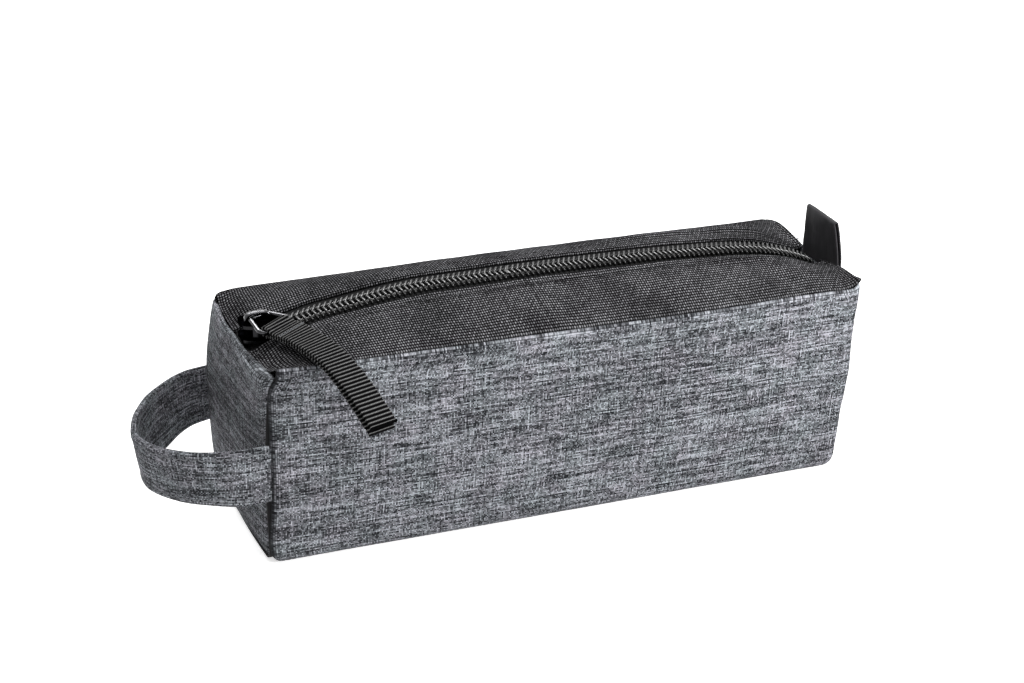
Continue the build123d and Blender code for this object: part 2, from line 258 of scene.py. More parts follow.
END_WAVE, SEAM_WAVE, EDGE_WAVE, BASE_WAVE = mm(0.7, 0.2, 0.25, 0.25)  # heights of soft unevenness
CORNER_DROP = mm(3.0)  # the left end's front corner lies this far below the long seams
CORNER_IN = mm(1.0)  # how far the front cloth draws back from it
EAR_LEAN, EAR_OUT = mm(0.3, 1.5)


def chain_z(x):
    """Height of the tape's top face along the zip: the CAD's with a little more arch."""
    half = size().length / 2
    rising = smooth((x + half - RISE_FROM) / (RISE_TO - RISE_FROM))
    falling = clamp(1 - (half - x) / FALL_LENGTH, 0, 1.2) ** FALL_POWER
    lift = CHAIN_LIFT * ease(x + half, 11, 16) * (1 - 0.6 * ease(x, 35, 35))
    lift += MIDDLE_LIFT * hill(x, 0.0, mm(30))
    return CHAIN_BASE + CHAIN_RISE * rising - FALL_DROP * falling + lift


def size():
    return bpy.context.scene.pouch_sizes


def zip_size():
    return bpy.context.scene.zip_sizes


def pull_size():
    return bpy.context.scene.pull_sizes


def colours():
    return bpy.context.scene.pouch_colours


def end_x(side, y, z):
    """X of an end of the bag."""
    half = size().width / 2
    front = through(EDGES[(side, FRONT)], z / MM) * MM
    back = through(EDGES[(side, BACK)], z / MM) * MM
    share = clamp((y + half) / size().width)
    bulge = side * END_BULGE * (1 - (y / half) ** 2) * smooth(z / mm(8) + 0.4)
    x = between(front, back, share) + bulge
    if side == LEFT:
        over = clamp((z - LEFT_CURL_FROM) / (size().height - LEFT_CURL_FROM))
        x += LEFT_CURL * over**2
    wave = END_WAVE * drift(y, z, 3.0 + side, mm(17)) * smooth(z / mm(12))
    return x + wave * (1 - (y / half) ** 4)


def seam_z(side, x):
    """Height of a long top seam."""
    return through(SEAM_TOPS[side], x / MM) * MM + SEAM_WAVE * drift(x, side, 11.3, mm(28))


def lip(distance, radius):
    """How deep cloth lies at a distance from its seam, where it turns in."""
    reach = math.sin(LIP_TURN)
    if distance >= radius * reach:
        return 0.0
    turned = reach - max(0.0, distance) / radius
    return radius * (1 - math.sqrt(1 - turned**2))


def inset(radius):
    """How far a seam lies inside the corner of the two cloths that turn into it."""
    return radius * (1 - math.cos(LIP_TURN))


def stations(low, high, step, fine=0.00025, spread=0.0024):
    """Places from low to high: close together near both ends, and step apart between."""
    near = []
    gap, at = fine, 0.0
    while at < spread:
        near.append(at)
        at += gap
        gap = min(gap * 1.35, step)
    count = max(1, math.ceil((high - low - 2 * at) / step))
    middle = even(low + at, high - at, count)
    return [low + place for place in near] + middle + [high - place for place in reversed(near)]


def cross_section(along):
    """(y, z, outward y, outward z) of the body cloth at a length from the front seam's corner."""
    s = size()
    if along > cloth_girth() / 2:
        y, z, out_y, out_z = cross_section(cloth_girth() - along)
        return -y, z, -out_y, out_z
    radius, wall = s.fold_radius, s.height - s.fold_radius
    if along <= wall:
        return -s.width / 2, s.height - along, -1.0, 0.0
    turn = (along - wall) / radius
    fold_y = radius - s.width / 2
    if turn <= math.pi / 2:
        cosine, sine = math.cos(turn), math.sin(turn)
        return fold_y - radius * cosine, radius - radius * sine, -cosine, -sine
    return fold_y + radius * (turn - math.pi / 2), 0.0, 0.0, -1.0


def cloth_girth():
    """Front seam corner to back seam corner, round the base."""
    s = size()
    return 2 * (s.height - s.fold_radius) + math.pi * s.fold_radius + s.width - 2 * s.fold_radius


FULLNESS = mm(1.1)  # how far the front and the back stand out in the middle
DRAG, LEFT_DRAG = mm(0.42, 0.22)  # heights of the slanting lines near the right and the left end
PUCKER, TOP_PUCKER = mm(0.22, 0.05)  # heights of the puckers beside the end seams and the top seams


def pillow(side, x, z):
    """How far the front or the back stands out: slight fullness, drag lines and puckers at the seams."""
    s = size()
    up = clamp(z / s.height)
    along = clamp((x + s.length / 2) / s.length)
    full = FULLNESS * math.sin(math.pi * up) ** 0.8 * math.sin(math.pi * along) ** 0.5
    seed = 20.0 if side == FRONT else 27.0
    soft = drift(x * 0.6, z, seed, mm(34)) * mm(0.9) + drift(x, z * 1.3, seed + 3, mm(15)) * mm(0.3)
    slant = (x - mm(105)) * 0.5 + z
    drag = math.sin(slant / mm(4.6) + 1.5 * drift(x, z, seed + 5, mm(20))) * ease(x, 50, 45)
    left_drag = math.sin((z - x * 0.45) / mm(5.2)) * ease(-x, 80, 22)
    calm = math.sin(math.pi * up) ** 0.6
    wander = 3 * drift(x, z, seed + 8, mm(12))
    pucker = 0.0
    for from_seam, scale in ((x + s.length / 2, mm(5.2)), (s.length / 2 - x, mm(4.4))):
        pucker += math.exp(-max(from_seam, 0) / mm(4.5)) * math.sin(z / scale * 2.2 + wander)
    top = math.exp(-(s.height - z) / mm(2.6)) * math.sin(x / mm(1.6) + 4 * drift(x, z, seed + 9, mm(9)))
    return full + (soft + drag * DRAG + left_drag * LEFT_DRAG) * calm + pucker * PUCKER + top * TOP_PUCKER


def body_place(x_share, along):
    """A point on the outside of the body cloth."""
    s = size()
    y, z, out_y, out_z = cross_section(along)
    side = FRONT if along < cloth_girth() / 2 else BACK
    seam_inset = inset(s.end_lip)
    x_from = end_x(LEFT, y, z) + seam_inset
    if side == FRONT:
        x_from += CORNER_IN * hill(z, s.height - CORNER_DROP, mm(3.2))
    x_to = end_x(RIGHT, y, z) - seam_inset
    x = between(x_from, x_to, x_share)
    top_from = seam_z(side, x) - inset(s.top_lip)
    upright = abs(out_y)
    if upright > 0.999:
        z = between(s.fold_radius, top_from, (z - s.fold_radius) / (s.height - s.fold_radius))
    out = pillow(side, x, z) * upright
    out -= lip(x - x_from, s.end_lip) + lip(x_to - x, s.end_lip)
    out -= lip(top_from - z, s.top_lip) * upright
    if out_z < -0.5:
        out = min(out, 0.0) - BASE_WAVE * (1 + drift(x, y, 31.0, mm(18))) * (1 - upright)
    return Vector((x, y + out_y * out, z + out_z * out))


def ear(y, z):
    """How far the left end's front top corner leans over the top, and how far it stands out in front."""
    s = size()
    high = hill(z, s.height - mm(3.4), mm(3.0))
    beside = y + s.width / 2
    return EAR_LEAN * hill(beside, 0.0, mm(5.0)) * high, EAR_OUT * hill(beside, 0.0, mm(2.4)) * high


def end_outline_half(z, rim):
    """Half of an end cloth's width at a height, inside its seam."""
    s = size()
    radius = s.fold_radius - rim
    rise = z - rim
    if rise >= radius:
        return s.width / 2 - rim
    return s.width / 2 - rim - radius + math.sqrt(max(0.0, radius**2 - (radius - rise) ** 2))


def seam_distance(y, z, rim):
    """How far a point of an end cloth is inside its front, bottom and back seam."""
    s = size()
    radius = s.fold_radius - rim
    corner_y, corner_z = s.width / 2 - rim - radius, rim + radius
    away_y, below = abs(y) - corner_y, corner_z - z
    if away_y > 0 and below > 0:
        return radius - math.hypot(away_y, below)
    return min(s.width / 2 - rim - abs(y), z - rim)


def end_top(side, y):
    """Height of the top edge of an end cloth."""
    return through(END_TOPS[side], y / MM) * MM + EDGE_WAVE * drift(y, 0, 41.3 + side, mm(9))


END_ROLL = {LEFT: mm(1.2), RIGHT: mm(0.7)}  # radius at which an end cloth rolls over into the top
FRONT_ROLL = mm(1.7)  # more of it towards the left end's front corner
ROLL_TURN = math.radians(125)


def end_place(side, across, rise, roll=0.0):
    """A point on the outside of an end cloth, by shares of its width, height and rolled edge."""
    s = size()
    rim = inset(s.end_lip)
    wide = FRONT_ROLL * smooth(-across / 0.8) if side == LEFT else 0.0
    corner = (END_ROLL[side] + wide) * (0.25 + 0.75 * smooth((1 - abs(across)) / 0.12))
    z = rim + (end_top(side, 0) - corner - rim) * rise
    y = end_outline_half(min(z, s.height / 2), rim) * across
    z = rim + (end_top(side, y) - corner - rim) * rise
    x = end_x(side, y, z) - side * lip(seam_distance(y, z, rim), s.end_lip)
    turn = ROLL_TURN * roll
    x -= side * corner * (1 - math.cos(turn))
    z += corner * math.sin(turn)
    if side == LEFT:
        over, forward = ear(y, z)
        x += over
        y -= forward
    return Vector((x, y, z))


# Top panels and zip


BACK_GAP = mm(2.8)  # the back panel's folded edge lies this much further from the chain
PANEL_RISE = mm(1.35)  # a top panel's outer face over the tape at its folded edge
FOLD_TUCK = mm(3.0)  # cloth turned under at the folded edge
FOLD_ROUND = mm(0.55)
STITCH_LINE = mm(4.2)  # folded edge to the row of stitches
PANEL_SWELL = {FRONT: mm(0.9), BACK: mm(1.9)}  # how far a top panel stands out in its middle
RIGHT_SWELL = mm(1.2)  # more of it at the front panel's right end
STITCH_DENT, EDGE_PUCKER = mm(0.22, 0.12)
PANEL_FROM, PANEL_TO, PANEL_DIP = mm(0.9, 0.25, 0.6)  # inside the left and the right end, and its turn down
# Long folds of the top panels: height, start and length of the climb, end and length of the fall, all in
# millimetres, then place and spread as shares of the panel's width
PANEL_FOLDS = {
    FRONT: [(1.0, 50, 18, 100, 12, 0.14, 0.075)],
    BACK: [
        (1.4, 15, 35, 99, 14, 0.32, 0.11),
        (-1.5, 15, 35, 99, 14, 0.57, 0.13),
        (-0.3, 40, 35, 200, 14, 0.82, 0.10),
    ],
}
# Creases and swells across them: height, lean, x and half width in millimetres, then place and spread as
# shares of the panel's width, where no spread means the whole width
PANEL_CREASES = {
    FRONT: [(-0.7, 0.7, 62, 6, 0.5, None), (0.5, 0.0, -72, 14, 0.35, 0.3)],
    BACK: [(-0.7, -0.5, 58, 5, 0.5, 0.3)],
}


def slot_edge(side):
    """Middle of the zip to a top panel's folded edge."""
    return zip_size().slot / 2 + (BACK_GAP if side == BACK else 0.0)


def panel_z(side, x, y):
    """Height of a top panel's outer face."""
    s = size()
    near = slot_edge(side)
    share = clamp((abs(y) - near) / (s.width / 2 - near))
    seed = 51.0 if side == FRONT else 57.0
    at_zip = chain_z(x) + PANEL_RISE
    z = between(at_zip, seam_z(side, x), share)
    middle = math.sin(math.pi * share)
    if side == FRONT:
        z += (PANEL_SWELL[FRONT] + RIGHT_SWELL * ease(x, 55, 40)) * middle
    else:
        z += PANEL_SWELL[BACK] * middle**0.6
    z += middle * (mm(0.9) * drift(x, y, seed, mm(30)) + mm(0.3) * drift(x, y, seed + 2, mm(13)))
    z -= STITCH_DENT * hill(share, STITCH_LINE / (s.width / 2 - near), 0.035)
    z += EDGE_PUCKER * math.exp(-share / 0.09) * math.sin(x / mm(0.55) + 3 * drift(x, 0, seed + 4, mm(14)))
    for height, start, climb, end, fall, place, spread in PANEL_FOLDS[side]:
        z += mm(height) * ease(x, start, climb) * ease(-x, -end, fall) * hill(share, place, spread)
    for height, lean, at, half_width, place, spread in PANEL_CREASES[side]:
        depth = hill(share, place, spread) if spread else middle
        z += mm(height) * hill(x + y * lean, mm(at), mm(half_width)) * depth
    rolled = mm(2.4) + 2 * FRONT_ROLL * smooth(-y / (s.width * 0.4))
    by_left = math.exp(-max(0.0, x - end_x(LEFT, y, s.height) - rolled) / mm(6.0)) * (1 - share**6)
    by_right = math.exp(-max(0.0, end_x(RIGHT, y, s.height) - mm(1.0) - x) / mm(4.0)) * (1 - share**6)
    z = between(z, end_top(LEFT, y) - mm(0.7), by_left)
    return between(z, end_top(RIGHT, y) + mm(0.2), by_right)


def panel_place(side, x_share, reach):
    """A point on a top panel: reach runs from the long seam over the folded edge and back under it."""
    s = size()
    rim = inset(s.top_lip)
    width = fold_reach(side)
    over = clamp(reach / width)
    y = side * (s.width / 2 - rim - width * over)
    x_from = end_x(LEFT, y, s.height) + PANEL_FROM
    x_to = end_x(RIGHT, y, s.height) - PANEL_TO
    x = between(x_from, x_to, x_share)
    z = panel_z(side, x, y) - lip(min(reach, width), s.top_lip) - lip(x_to - x, PANEL_DIP)
    beyond = reach - width
    if beyond > 0:
        turn = min(beyond / FOLD_ROUND, math.pi)
        y -= side * FOLD_ROUND * math.sin(turn)
        z -= FOLD_ROUND * (1 - math.cos(turn))
        y += side * max(0.0, beyond - math.pi * FOLD_ROUND)
    return Vector((x, y, z))


def fold_reach(side):
    """Long seam to the folded edge of a top panel."""
    s = size()
    return s.width / 2 - inset(s.top_lip) - slot_edge(side) - FOLD_ROUND


def panel_reaches(side):
    """Places from the long seam round the folded edge to the end of the turned-under cloth."""
    width = fold_reach(side)
    flat = stations(0.0, width, size().mesh_step, spread=mm(1.4))
    turned = [width + FOLD_ROUND * math.pi * i / 8 for i in range(1, 9)]
    under = [turned[-1] + FOLD_TUCK * i / 2 for i in (1, 2)]
    return flat + turned + under


def x_shares(low=0.0, high=1.0):
    """Shares of the bag's length for a cloth's vertices, close together at the end seams."""
    s = size()
    shares = [place / s.length for place in stations(0.0, s.length, s.mesh_step)]
    return [share for share in shares if low - 1e-9 <= share <= high + 1e-9]


# Meshes


def new_piece(name, mesh, finish):
    piece = bpy.data.objects.new(name, mesh)
    bpy.context.scene.collection.objects.link(piece)
    mesh.materials.append(finish_of(finish))
    for face in mesh.polygons:
        face.use_smooth = True
    return piece


def mesh_of(name, points, faces):
    mesh = bpy.data.meshes.new(name)
    mesh.from_pydata([tuple(point) for point in points], [], faces)
    return mesh


def woven_grid(name, firsts, seconds, place, flat, finish, flip=False):
    """A cloth with corners at place(first, second), and flat(first, second) as its UV map, in metres."""
    pairs = [(first, second) for first in firsts for second in seconds]
    rows = len(seconds)
    faces = []
    for i in range(len(firsts) - 1):
        for corner in range(i * rows, i * rows + rows - 1):
            face = (corner, corner + rows, corner + rows + 1, corner + 1)
            faces.append(tuple(reversed(face)) if flip else face)
    mesh = mesh_of(name, [place(*pair) for pair in pairs], faces)
    layer = mesh.uv_layers.new(name="UVMap")
    for loop in mesh.loops:
        layer.data[loop.index].uv = flat(*pairs[loop.vertex_index])
    return new_piece(name, mesh, finish)


def close_tube(mesh):
    """Joins a tube's doubled vertices, closes its open ends and turns its faces outwards."""
    shell = bmesh.new()
    shell.from_mesh(mesh)
    bmesh.ops.remove_doubles(shell, verts=shell.verts[:], dist=1e-7)
    bmesh.ops.holes_fill(shell, edges=[edge for edge in shell.edges if edge.is_boundary], sides=0)
    bmesh.ops.recalc_face_normals(shell, faces=shell.faces[:])
    shell.to_mesh(mesh)
    shell.free()


def freeze(piece):
    """Turns a piece with modifiers into a plain mesh."""
    bpy.context.view_layer.update()
    seen = bpy.context.evaluated_depsgraph_get()
    done = bpy.data.meshes.new_from_object(
        piece.evaluated_get(seen), preserve_all_data_layers=True, depsgraph=seen
    )
    piece.modifiers.clear()
    if piece.type == "MESH":
        piece.data = done
        return piece
    name = piece.name
    piece.name = name + ".path"
    made = bpy.data.objects.new(name, done)
    bpy.context.scene.collection.objects.link(made)
    bpy.data.objects.remove(piece)
    return made


def thicken(piece, thickness, edge=None):
    """Gives a cloth its thickness, inwards, and may give its cut edges another finish: the grey cloths'
    black edges are painted shade in their seams.
    """
    faces = 2 * len(piece.data.polygons)
    piece = solid_cloth(piece, thickness, -1.0)
    if edge:
        piece.data.materials.append(finish_of(edge))
    for rim in piece.data.polygons[faces:]:
        rim.use_smooth = False
        rim.material_index = 1 if edge else 0
    return piece


def solid_cloth(piece, thickness, offset):
    """A cloth with its thickness, inwards at offset -1 and to both sides at 0."""
    wall = piece.modifiers.new("Cloth thickness", "SOLIDIFY")
    wall.thickness, wall.offset = thickness, offset
    return freeze(piece)


def sweep(name, line, section, finish, flat=None):
    """Carries a section's (across, out) points along places: (middle, width direction, out direction)."""

    def place(row, point):
        middle, width, out = line[row]
        return middle + width * point[0] + out * point[1]

    return woven_grid(name, range(len(line)), section, place, flat or (lambda row, point: point), finish)


def directions(points, closed=False):
    """The direction of a line at each of its points."""
    behind = (points[-1:] if closed else points[:1]) + points[:-1]
    ahead = points[1:] + (points[:1] if closed else points[-1:])
    return [(after - before).normalized() for before, after in zip(behind, ahead)]


# Materials and node trees


class Value:
    """What comes out of a node: arithmetic on it adds Math nodes to the tree."""

    def __init__(self, maker, socket):
        self.maker, self.socket = maker, socket

    def __add__(self, other):
        return self.maker.math("ADD", self, other)

    def __sub__(self, other):
        return self.maker.math("SUBTRACT", self, other)

    def __mul__(self, other):
        return self.maker.math("MULTIPLY", self, other)

    def __truediv__(self, other):
        return self.maker.math("DIVIDE", self, other)

    def __pow__(self, other):
        return self.maker.math("POWER", self, other)


class Maker:
    """Builds a node tree from short calls: most of them return a Value."""

    def __init__(self, tree):
        self.tree = tree
        self.count = 0

    def put(self, kind, inputs=None, **settings):
        """A new node with its inputs filled, by their names or numbers."""
        made = self.tree.nodes.new(kind)
        self.count += 1
        made.location = (200 * (self.count % 12), -180 * (self.count // 12))
        for name, value in settings.items():
            setattr(made, name, value)
        return self.fill(made, inputs or {})

    def fill(self, made, inputs):
        for key, value in inputs.items():
            self.link(value, made.inputs[key])
        return made

    def link(self, value, socket):
        if isinstance(value, Value):
            value = value.socket
        if isinstance(value, bpy.types.NodeSocket):
            self.tree.links.new(value, socket)
        elif socket.type == "RGBA":
            socket.default_value = (*value, 1.0)
        else:
            socket.default_value = value

    def out(self, kind, inputs=None, **settings):
        """The first output of a new node."""
        return Value(self, self.put(kind, inputs, **settings).outputs[0])

    def math(self, operation, *values, clamp=False):
        return self.out("ShaderNodeMath", dict(enumerate(values)), operation=operation, use_clamp=clamp)

    def mix(self, share, a, b):
        """Mixes two colours."""
        made = self.put("ShaderNodeMix", {"Factor": share}, data_type="RGBA")
        for value, socket in zip((a, b), (socket for socket in made.inputs if socket.type == "RGBA")):
            self.link(value, socket)
        return Value(self, next(socket for socket in made.outputs if socket.type == "RGBA"))

    def join(self, x, y, z=0.0):
        return self.out("ShaderNodeCombineXYZ", {0: x, 1: y, 2: z})

    def ramp(self, value, low, high, to_low=0.0, to_high=1.0):
        return self.out("ShaderNodeMapRange", {
            "Value": value, "From Min": low, "From Max": high, "To Min": to_low, "To Max": to_high,
        })

    def noise(self, vector, scale, detail=2.0, roughness=0.5):
        return self.out("ShaderNodeTexNoise", {
            "Vector": vector, "Scale": scale, "Detail": detail, "Roughness": roughness,
        })

    def grain(self, scale, detail, roughness):
        """Noise in the piece's own space."""
        return self.noise(self.put("ShaderNodeTexCoord").outputs["Object"], scale, detail, roughness)

    def random(self, x, y, z=0.0):
        return self.out("ShaderNodeTexWhiteNoise", {"Vector": self.join(x, y, z)}, noise_dimensions="3D")

    def bump(self, height, strength, distance):
        return self.out("ShaderNodeBump", {"Strength": strength, "Distance": distance, "Height": height})

    def cloth_axes(self):
        """The two lengths of the cloth's own UV map."""
        uv = self.out("ShaderNodeUVMap", uv_map="UVMap")
        parts = self.put("ShaderNodeSeparateXYZ", {0: uv})
        return Value(self, parts.outputs[0]), Value(self, parts.outputs[1])

    def pipe(self, path, radius, sides, scale=1.0):
        """A round pipe along a path."""
        ring = self.out("GeometryNodeCurvePrimitiveCircle", {"Resolution": sides, "Radius": radius})
        return self.out("GeometryNodeCurveToMesh", {
            "Curve": path, "Profile Curve": ring, "Scale": scale, "Fill Caps": True,
        })


def weave(maker, along, across, pitch_along, pitch_across):
    """(yarn number along, across, 1 where the long yarn is on top, height) of a plain weave."""
    first, second = along / pitch_along, across / pitch_across
    column, row = maker.math("FLOOR", first), maker.math("FLOOR", second)
    odd = maker.math("MODULO", maker.math("ABSOLUTE", column + row), 2.0)
    over = maker.math("GREATER_THAN", odd, 0.5)
    crowns = [maker.math("SINE", maker.math("FRACT", place) * math.pi) for place in (first, second)]
    return column, row, over, (crowns[0] * crowns[1]) ** 0.5


def rib_crown(maker, ribs):
    """0 between ribs and 1 on top of them, from a number of ribs."""
    return maker.math("SUBTRACT", 1.0, maker.math("COSINE", ribs * (2 * math.pi))) * 0.5


def looks(colour, roughness, gloss, normal, **more):
    """What goes into a surface."""
    main = {"Base Color": colour, "Roughness": roughness, "Specular IOR Level": gloss, "Normal": normal}
    return {**main, **more}


MELANGE_YARN = 0.00050
TOP_YARNS = (0.00086, 0.00120)  # along and across the black cloth
TWILL_LINE, TWILL_TURN = 0.0008, 0.0022  # between slanting lines, and where their slant turns back
WEBBING_TWIST = 0.0006
SEAM_SHADE = (0.0002, 0.0011)  # painted shade of the seam's groove: the grey cloth is darker up to this far from its seam


def melange_cloth(maker):
    """Grey melange: yarns spun from dark and light fibres, with slubs along the cloth's length."""
    along, across = maker.cloth_axes()
    column, row, over, height = weave(maker, along, across, MELANGE_YARN, MELANGE_YARN)

    def times(value, factor):
        return maker.math("MULTIPLY_ADD", value, factor, 0.37)

    def band(x, y, seed, weight, detail=2.0):
        return (maker.noise(maker.join(times(*x), times(*y), seed), 1.0, detail, 0.65) - 0.5) * weight

    long_slub = band((along, 78.0), (row, 7.31), 3.37, 3.0)
    thick_slub = band((along, 34.0), (across, 640.0), 4.53, 0.5)
    upright = band((column, 5.77), (across, 90.0), 9.41, 1.9)
    fibre = band((along, 1000.0), (across, 2600.0), 1.21, 0.5, 1.0)
    patch = band((along, 34.0), (across, 34.0), 2.63, 0.22)
    speck = (maker.random(column, row, 1.0) - 0.5) * 0.6
    glint = maker.noise(maker.join(times(column, 3.19), times(across, 150.0), 7.77), 1.0, 1.0, 0.5)
    tone = upright + (long_slub + thick_slub - upright) * maker.ramp(over, 0.0, 1.0, 0.36, 0.78)
    tone = tone + speck + fibre + patch + 0.53 + maker.ramp(glint, 0.68, 0.76) * 0.45
    # painted shade: the grey cloth darkens from its yarns' crowns into the dips between them
    tone = maker.math("MULTIPLY", tone, maker.ramp(height, 0.0, 0.85, 0.22, 1.12), clamp=True)
    # painted shade of the seam's groove darkens the grey cloth next to its left seam
    tone = tone**1.9 * maker.ramp(along, *SEAM_SHADE, 0.10, 1.0)
    hue = maker.ramp(maker.noise(maker.join(along, across, 8.31), 90.0, 2.0, 0.6), 0.35, 0.65)
    red, green, blue = colours().melange_light
    cool, warm = (red * 0.95, green, blue), (red * 1.02, green * 0.985, blue * 1.02)
    colour = maker.mix(tone, colours().melange_dark, maker.mix(hue, cool, warm))
    sheen = {"Sheen Weight": 0.03, "Sheen Roughness": 0.45}
    return looks(colour, 0.88, 0.05, maker.bump(height + long_slub, 0.5, 0.00022), **sheen)


def plain_weave(maker):
    """A coarse filament plain weave: painted sheen on the black yarns' crowns, in a grid of painted shade
    between them.
    """
    along, across = maker.cloth_axes()
    shift = (maker.noise(maker.join(along, across, 7.3), 60.0, 2.0, 0.5) - 0.5) * (TOP_YARNS[0] * 1.6)
    along, across = along + shift, across + shift
    column, row, over, height = weave(maker, along, across, *TOP_YARNS)
    patch = maker.noise(maker.join(along, across, 1.3), 55.0, 3.0, 0.65)
    # painted sheen: the yarns' crowns light up, the yarns on top more, varying at random from yarn to yarn
    # and in patches; the gaps keep painted shade
    tone = height**4.5 * maker.ramp(over, 0.0, 1.0, 0.62, 1.0)
    tone = tone * maker.ramp(maker.random(column, row), 0.0, 1.0, 0.55, 1.2)
    tone = maker.math("MULTIPLY", tone, maker.ramp(patch, 0.3, 0.7, 0.55, 1.40), clamp=True)
    colour = maker.mix(tone, colours().top_gap_shade, colours().top_sheen)
    roughness = maker.ramp(height, 0.0, 1.0, 0.9, 0.6)
    return looks(colour, roughness, 0.0, maker.bump(height + over * 0.4, 0.7, 0.0003))


def twill_tape(maker):
    """Zip tape: fine black herringbone."""
    along, across = maker.cloth_axes()
    slant = maker.math("PINGPONG", across, TWILL_TURN)
    line = maker.math("SINE", (along + slant) * (2 * math.pi / TWILL_LINE))
    tone = maker.ramp(line, -1.0, 1.0, 0.1, 0.6) * maker.noise(maker.join(along, across), 900.0, 2.0, 0.6)
    colour = maker.mix(tone, colours().black, (0.07, 0.07, 0.072))
    return looks(colour, 0.75, 0.1, maker.bump(line, 0.5, 0.00012))


def ribbed_webbing(maker):
    """Black webbing: each rib is a row of twisted yarn, with painted sheen on the ribs' crowns and painted
    shade between them.
    """
    along, across = maker.cloth_axes()
    ribs = along / pull_size().rib_pitch
    crown = rib_crown(maker, ribs)
    shifted = across + maker.random(maker.math("FLOOR", ribs), 1.0) * WEBBING_TWIST
    yarn = maker.math("SINE", shifted * (2 * math.pi / WEBBING_TWIST))
    fleck = maker.noise(maker.join(along, across, 3.0), 1400.0, 2.0, 0.6)
    # painted sheen on the rib crowns, and painted shade between the ribs
    tone = crown**5.0 * maker.ramp(yarn, -1.0, 1.0, 0.5, 1.0)
    tone = maker.math("MULTIPLY", tone, maker.ramp(fleck, 0.3, 0.7, 0.6, 1.15), clamp=True)
    colour = maker.mix(tone, (0.001, 0.001, 0.0012), (0.21, 0.21, 0.21))
    roughness = maker.ramp(crown, 0.0, 1.0, 0.9, 0.42)
    return looks(colour, roughness, 0.02, maker.bump(crown + yarn * 0.25, 0.6, 0.0002))


def satin_ribbon(maker):
    """Black satin with fine lengthwise yarns and a corded edge."""
    along, across = maker.cloth_axes()
    yarn = maker.noise(maker.join(along * 60.0, across * 3500.0), 1.0)
    soft = maker.noise(maker.join(along, across, 5.0), 120.0, 2.0, 0.5)
    tone = maker.ramp(yarn, 0.3, 0.7, 0.2, 1.0) * maker.ramp(soft, 0.3, 0.7, 0.6, 1.1)
    selvedge = maker.ramp(maker.math("ABSOLUTE", across), RIBBON_WIDTH * 0.468, RIBBON_WIDTH * 0.492)
    colour = maker.mix(tone + selvedge * 3.0, (0.008, 0.008, 0.009), (0.026, 0.025, 0.028))
    satin = {"Anisotropic": 0.4, "Sheen Weight": 0.02}
    return looks(colour, 0.5, 0.08, maker.bump(yarn, 0.35, 0.00006), **satin)


def dimmed(colour, share):
    return tuple(channel * share for channel in colour)


def sewing_thread(maker, colour):
    """Twisted thread."""
    grain = maker.grain(2600.0, 2.0, 0.6)
    return looks(maker.mix(grain, dimmed(colour, 0.5), colour), 0.7, 0.08, maker.bump(grain, 0.4, 0.00008))


def coil_nylon(maker):
    """Glossy black filament."""
    scuff = maker.grain(700.0, 3.0, 0.6)
    colour = maker.mix(scuff, (0.003, 0.003, 0.0032), (0.014, 0.014, 0.014))
    return looks(colour, maker.ramp(scuff, 0.3, 0.7, 0.20, 0.32), 0.42, maker.bump(scuff, 0.12, 0.00004))


def plated_metal(maker, share, gloss, edge):
    """Polished dark plating, a little scuffed: share scales its colour for painted light and shade, and
    edge is its brightness at a flat angle.
    """
    tone = dimmed(colours().metal, share)
    scuff, stain = maker.grain(900.0, 4.0, 0.6), maker.grain(220.0, 2.0, 0.5)
    colour = maker.mix(maker.ramp(stain, 0.35, 0.65), dimmed(tone, 0.55), tone)
    roughness = maker.ramp(scuff, 0.3, 0.7, gloss, gloss + 0.14)
    metal = {"Metallic": 1.0, "Specular Tint": (edge, edge, edge)}
    return looks(colour, roughness, 0.5, maker.bump(scuff, 0.1, 0.00004), **metal)


def floor_paper(maker):
    """White paper that the camera sees a little brighter than its light makes it."""
    return {
        "Base Color": (0.86, 0.86, 0.86),
        "Roughness": 1.0,
        "Specular IOR Level": 0.0,
        "Emission Color": (1.0, 1.0, 1.0),
        "Emission Strength": white_to_camera(maker, 0.0, 0.62),
    }


def white_to_camera(maker, dim, bright):
    """Dim for the light on the object, bright for what the camera, gloss and glass see."""
    rays = maker.put("ShaderNodeLightPath").outputs
    seen = maker.math("MAXIMUM", rays["Is Camera Ray"], rays["Is Glossy Ray"])
    return maker.ramp(maker.math("MAXIMUM", seen, rays["Is Transmission Ray"]), 0.0, 1.0, dim, bright)


FINISHES = {
    "melange_cloth": melange_cloth,
    "black_weave": plain_weave,
    "zip_tape": twill_tape,
    "black_webbing": ribbed_webbing,
    "satin_ribbon": satin_ribbon,
    "black_thread": lambda maker: sewing_thread(maker, (0.012, 0.012, 0.0125)),
    "grey_thread": lambda maker: sewing_thread(maker, (0.22, 0.23, 0.245)),
    "coil_nylon": coil_nylon,
    # the slider body's copy of the plating, made darker for painted shade
    "black_nickel": lambda maker: plated_metal(maker, 0.6, 0.16, 0.2),
    # the arch's and the ring's copy of the same plating, made lighter so that their reflections show as
    # painted highlights
    "dark_nickel": lambda maker: plated_metal(maker, 2.2, 0.10, 1.0),
    "floor_paper": floor_paper,
}


def finish_of(key):
    """The material of a finish, made once."""
    material = bpy.data.materials.get(key)
    if material is None:
        material = bpy.data.materials.new(key)
        material.use_nodes = True
        maker = Maker(material.node_tree)
        surface = next(node for node in material.node_tree.nodes if node.type == "BSDF_PRINCIPLED")
        maker.fill(surface, FINISHES[key](maker))
    return material


COIL_SQUARE = 0.62  # 1 winds round turns, and less winds squarer ones
HEAD_SWELL = 0.22  # how much thicker the filament is where the two coils meet
CORE_PLACE, CORE_WIDTH = 0.62, 0.34  # the core cord's place and radius, as shares of the coil's inside
COIL_SIDES, CORE_SIDES, THREAD_SIDES = 7, 8, 6
STITCH_BENDS = 6
STITCH_GAP, STITCH_SINK = 0.2, 0.9  # shares of a stitch's length and of the thread's width


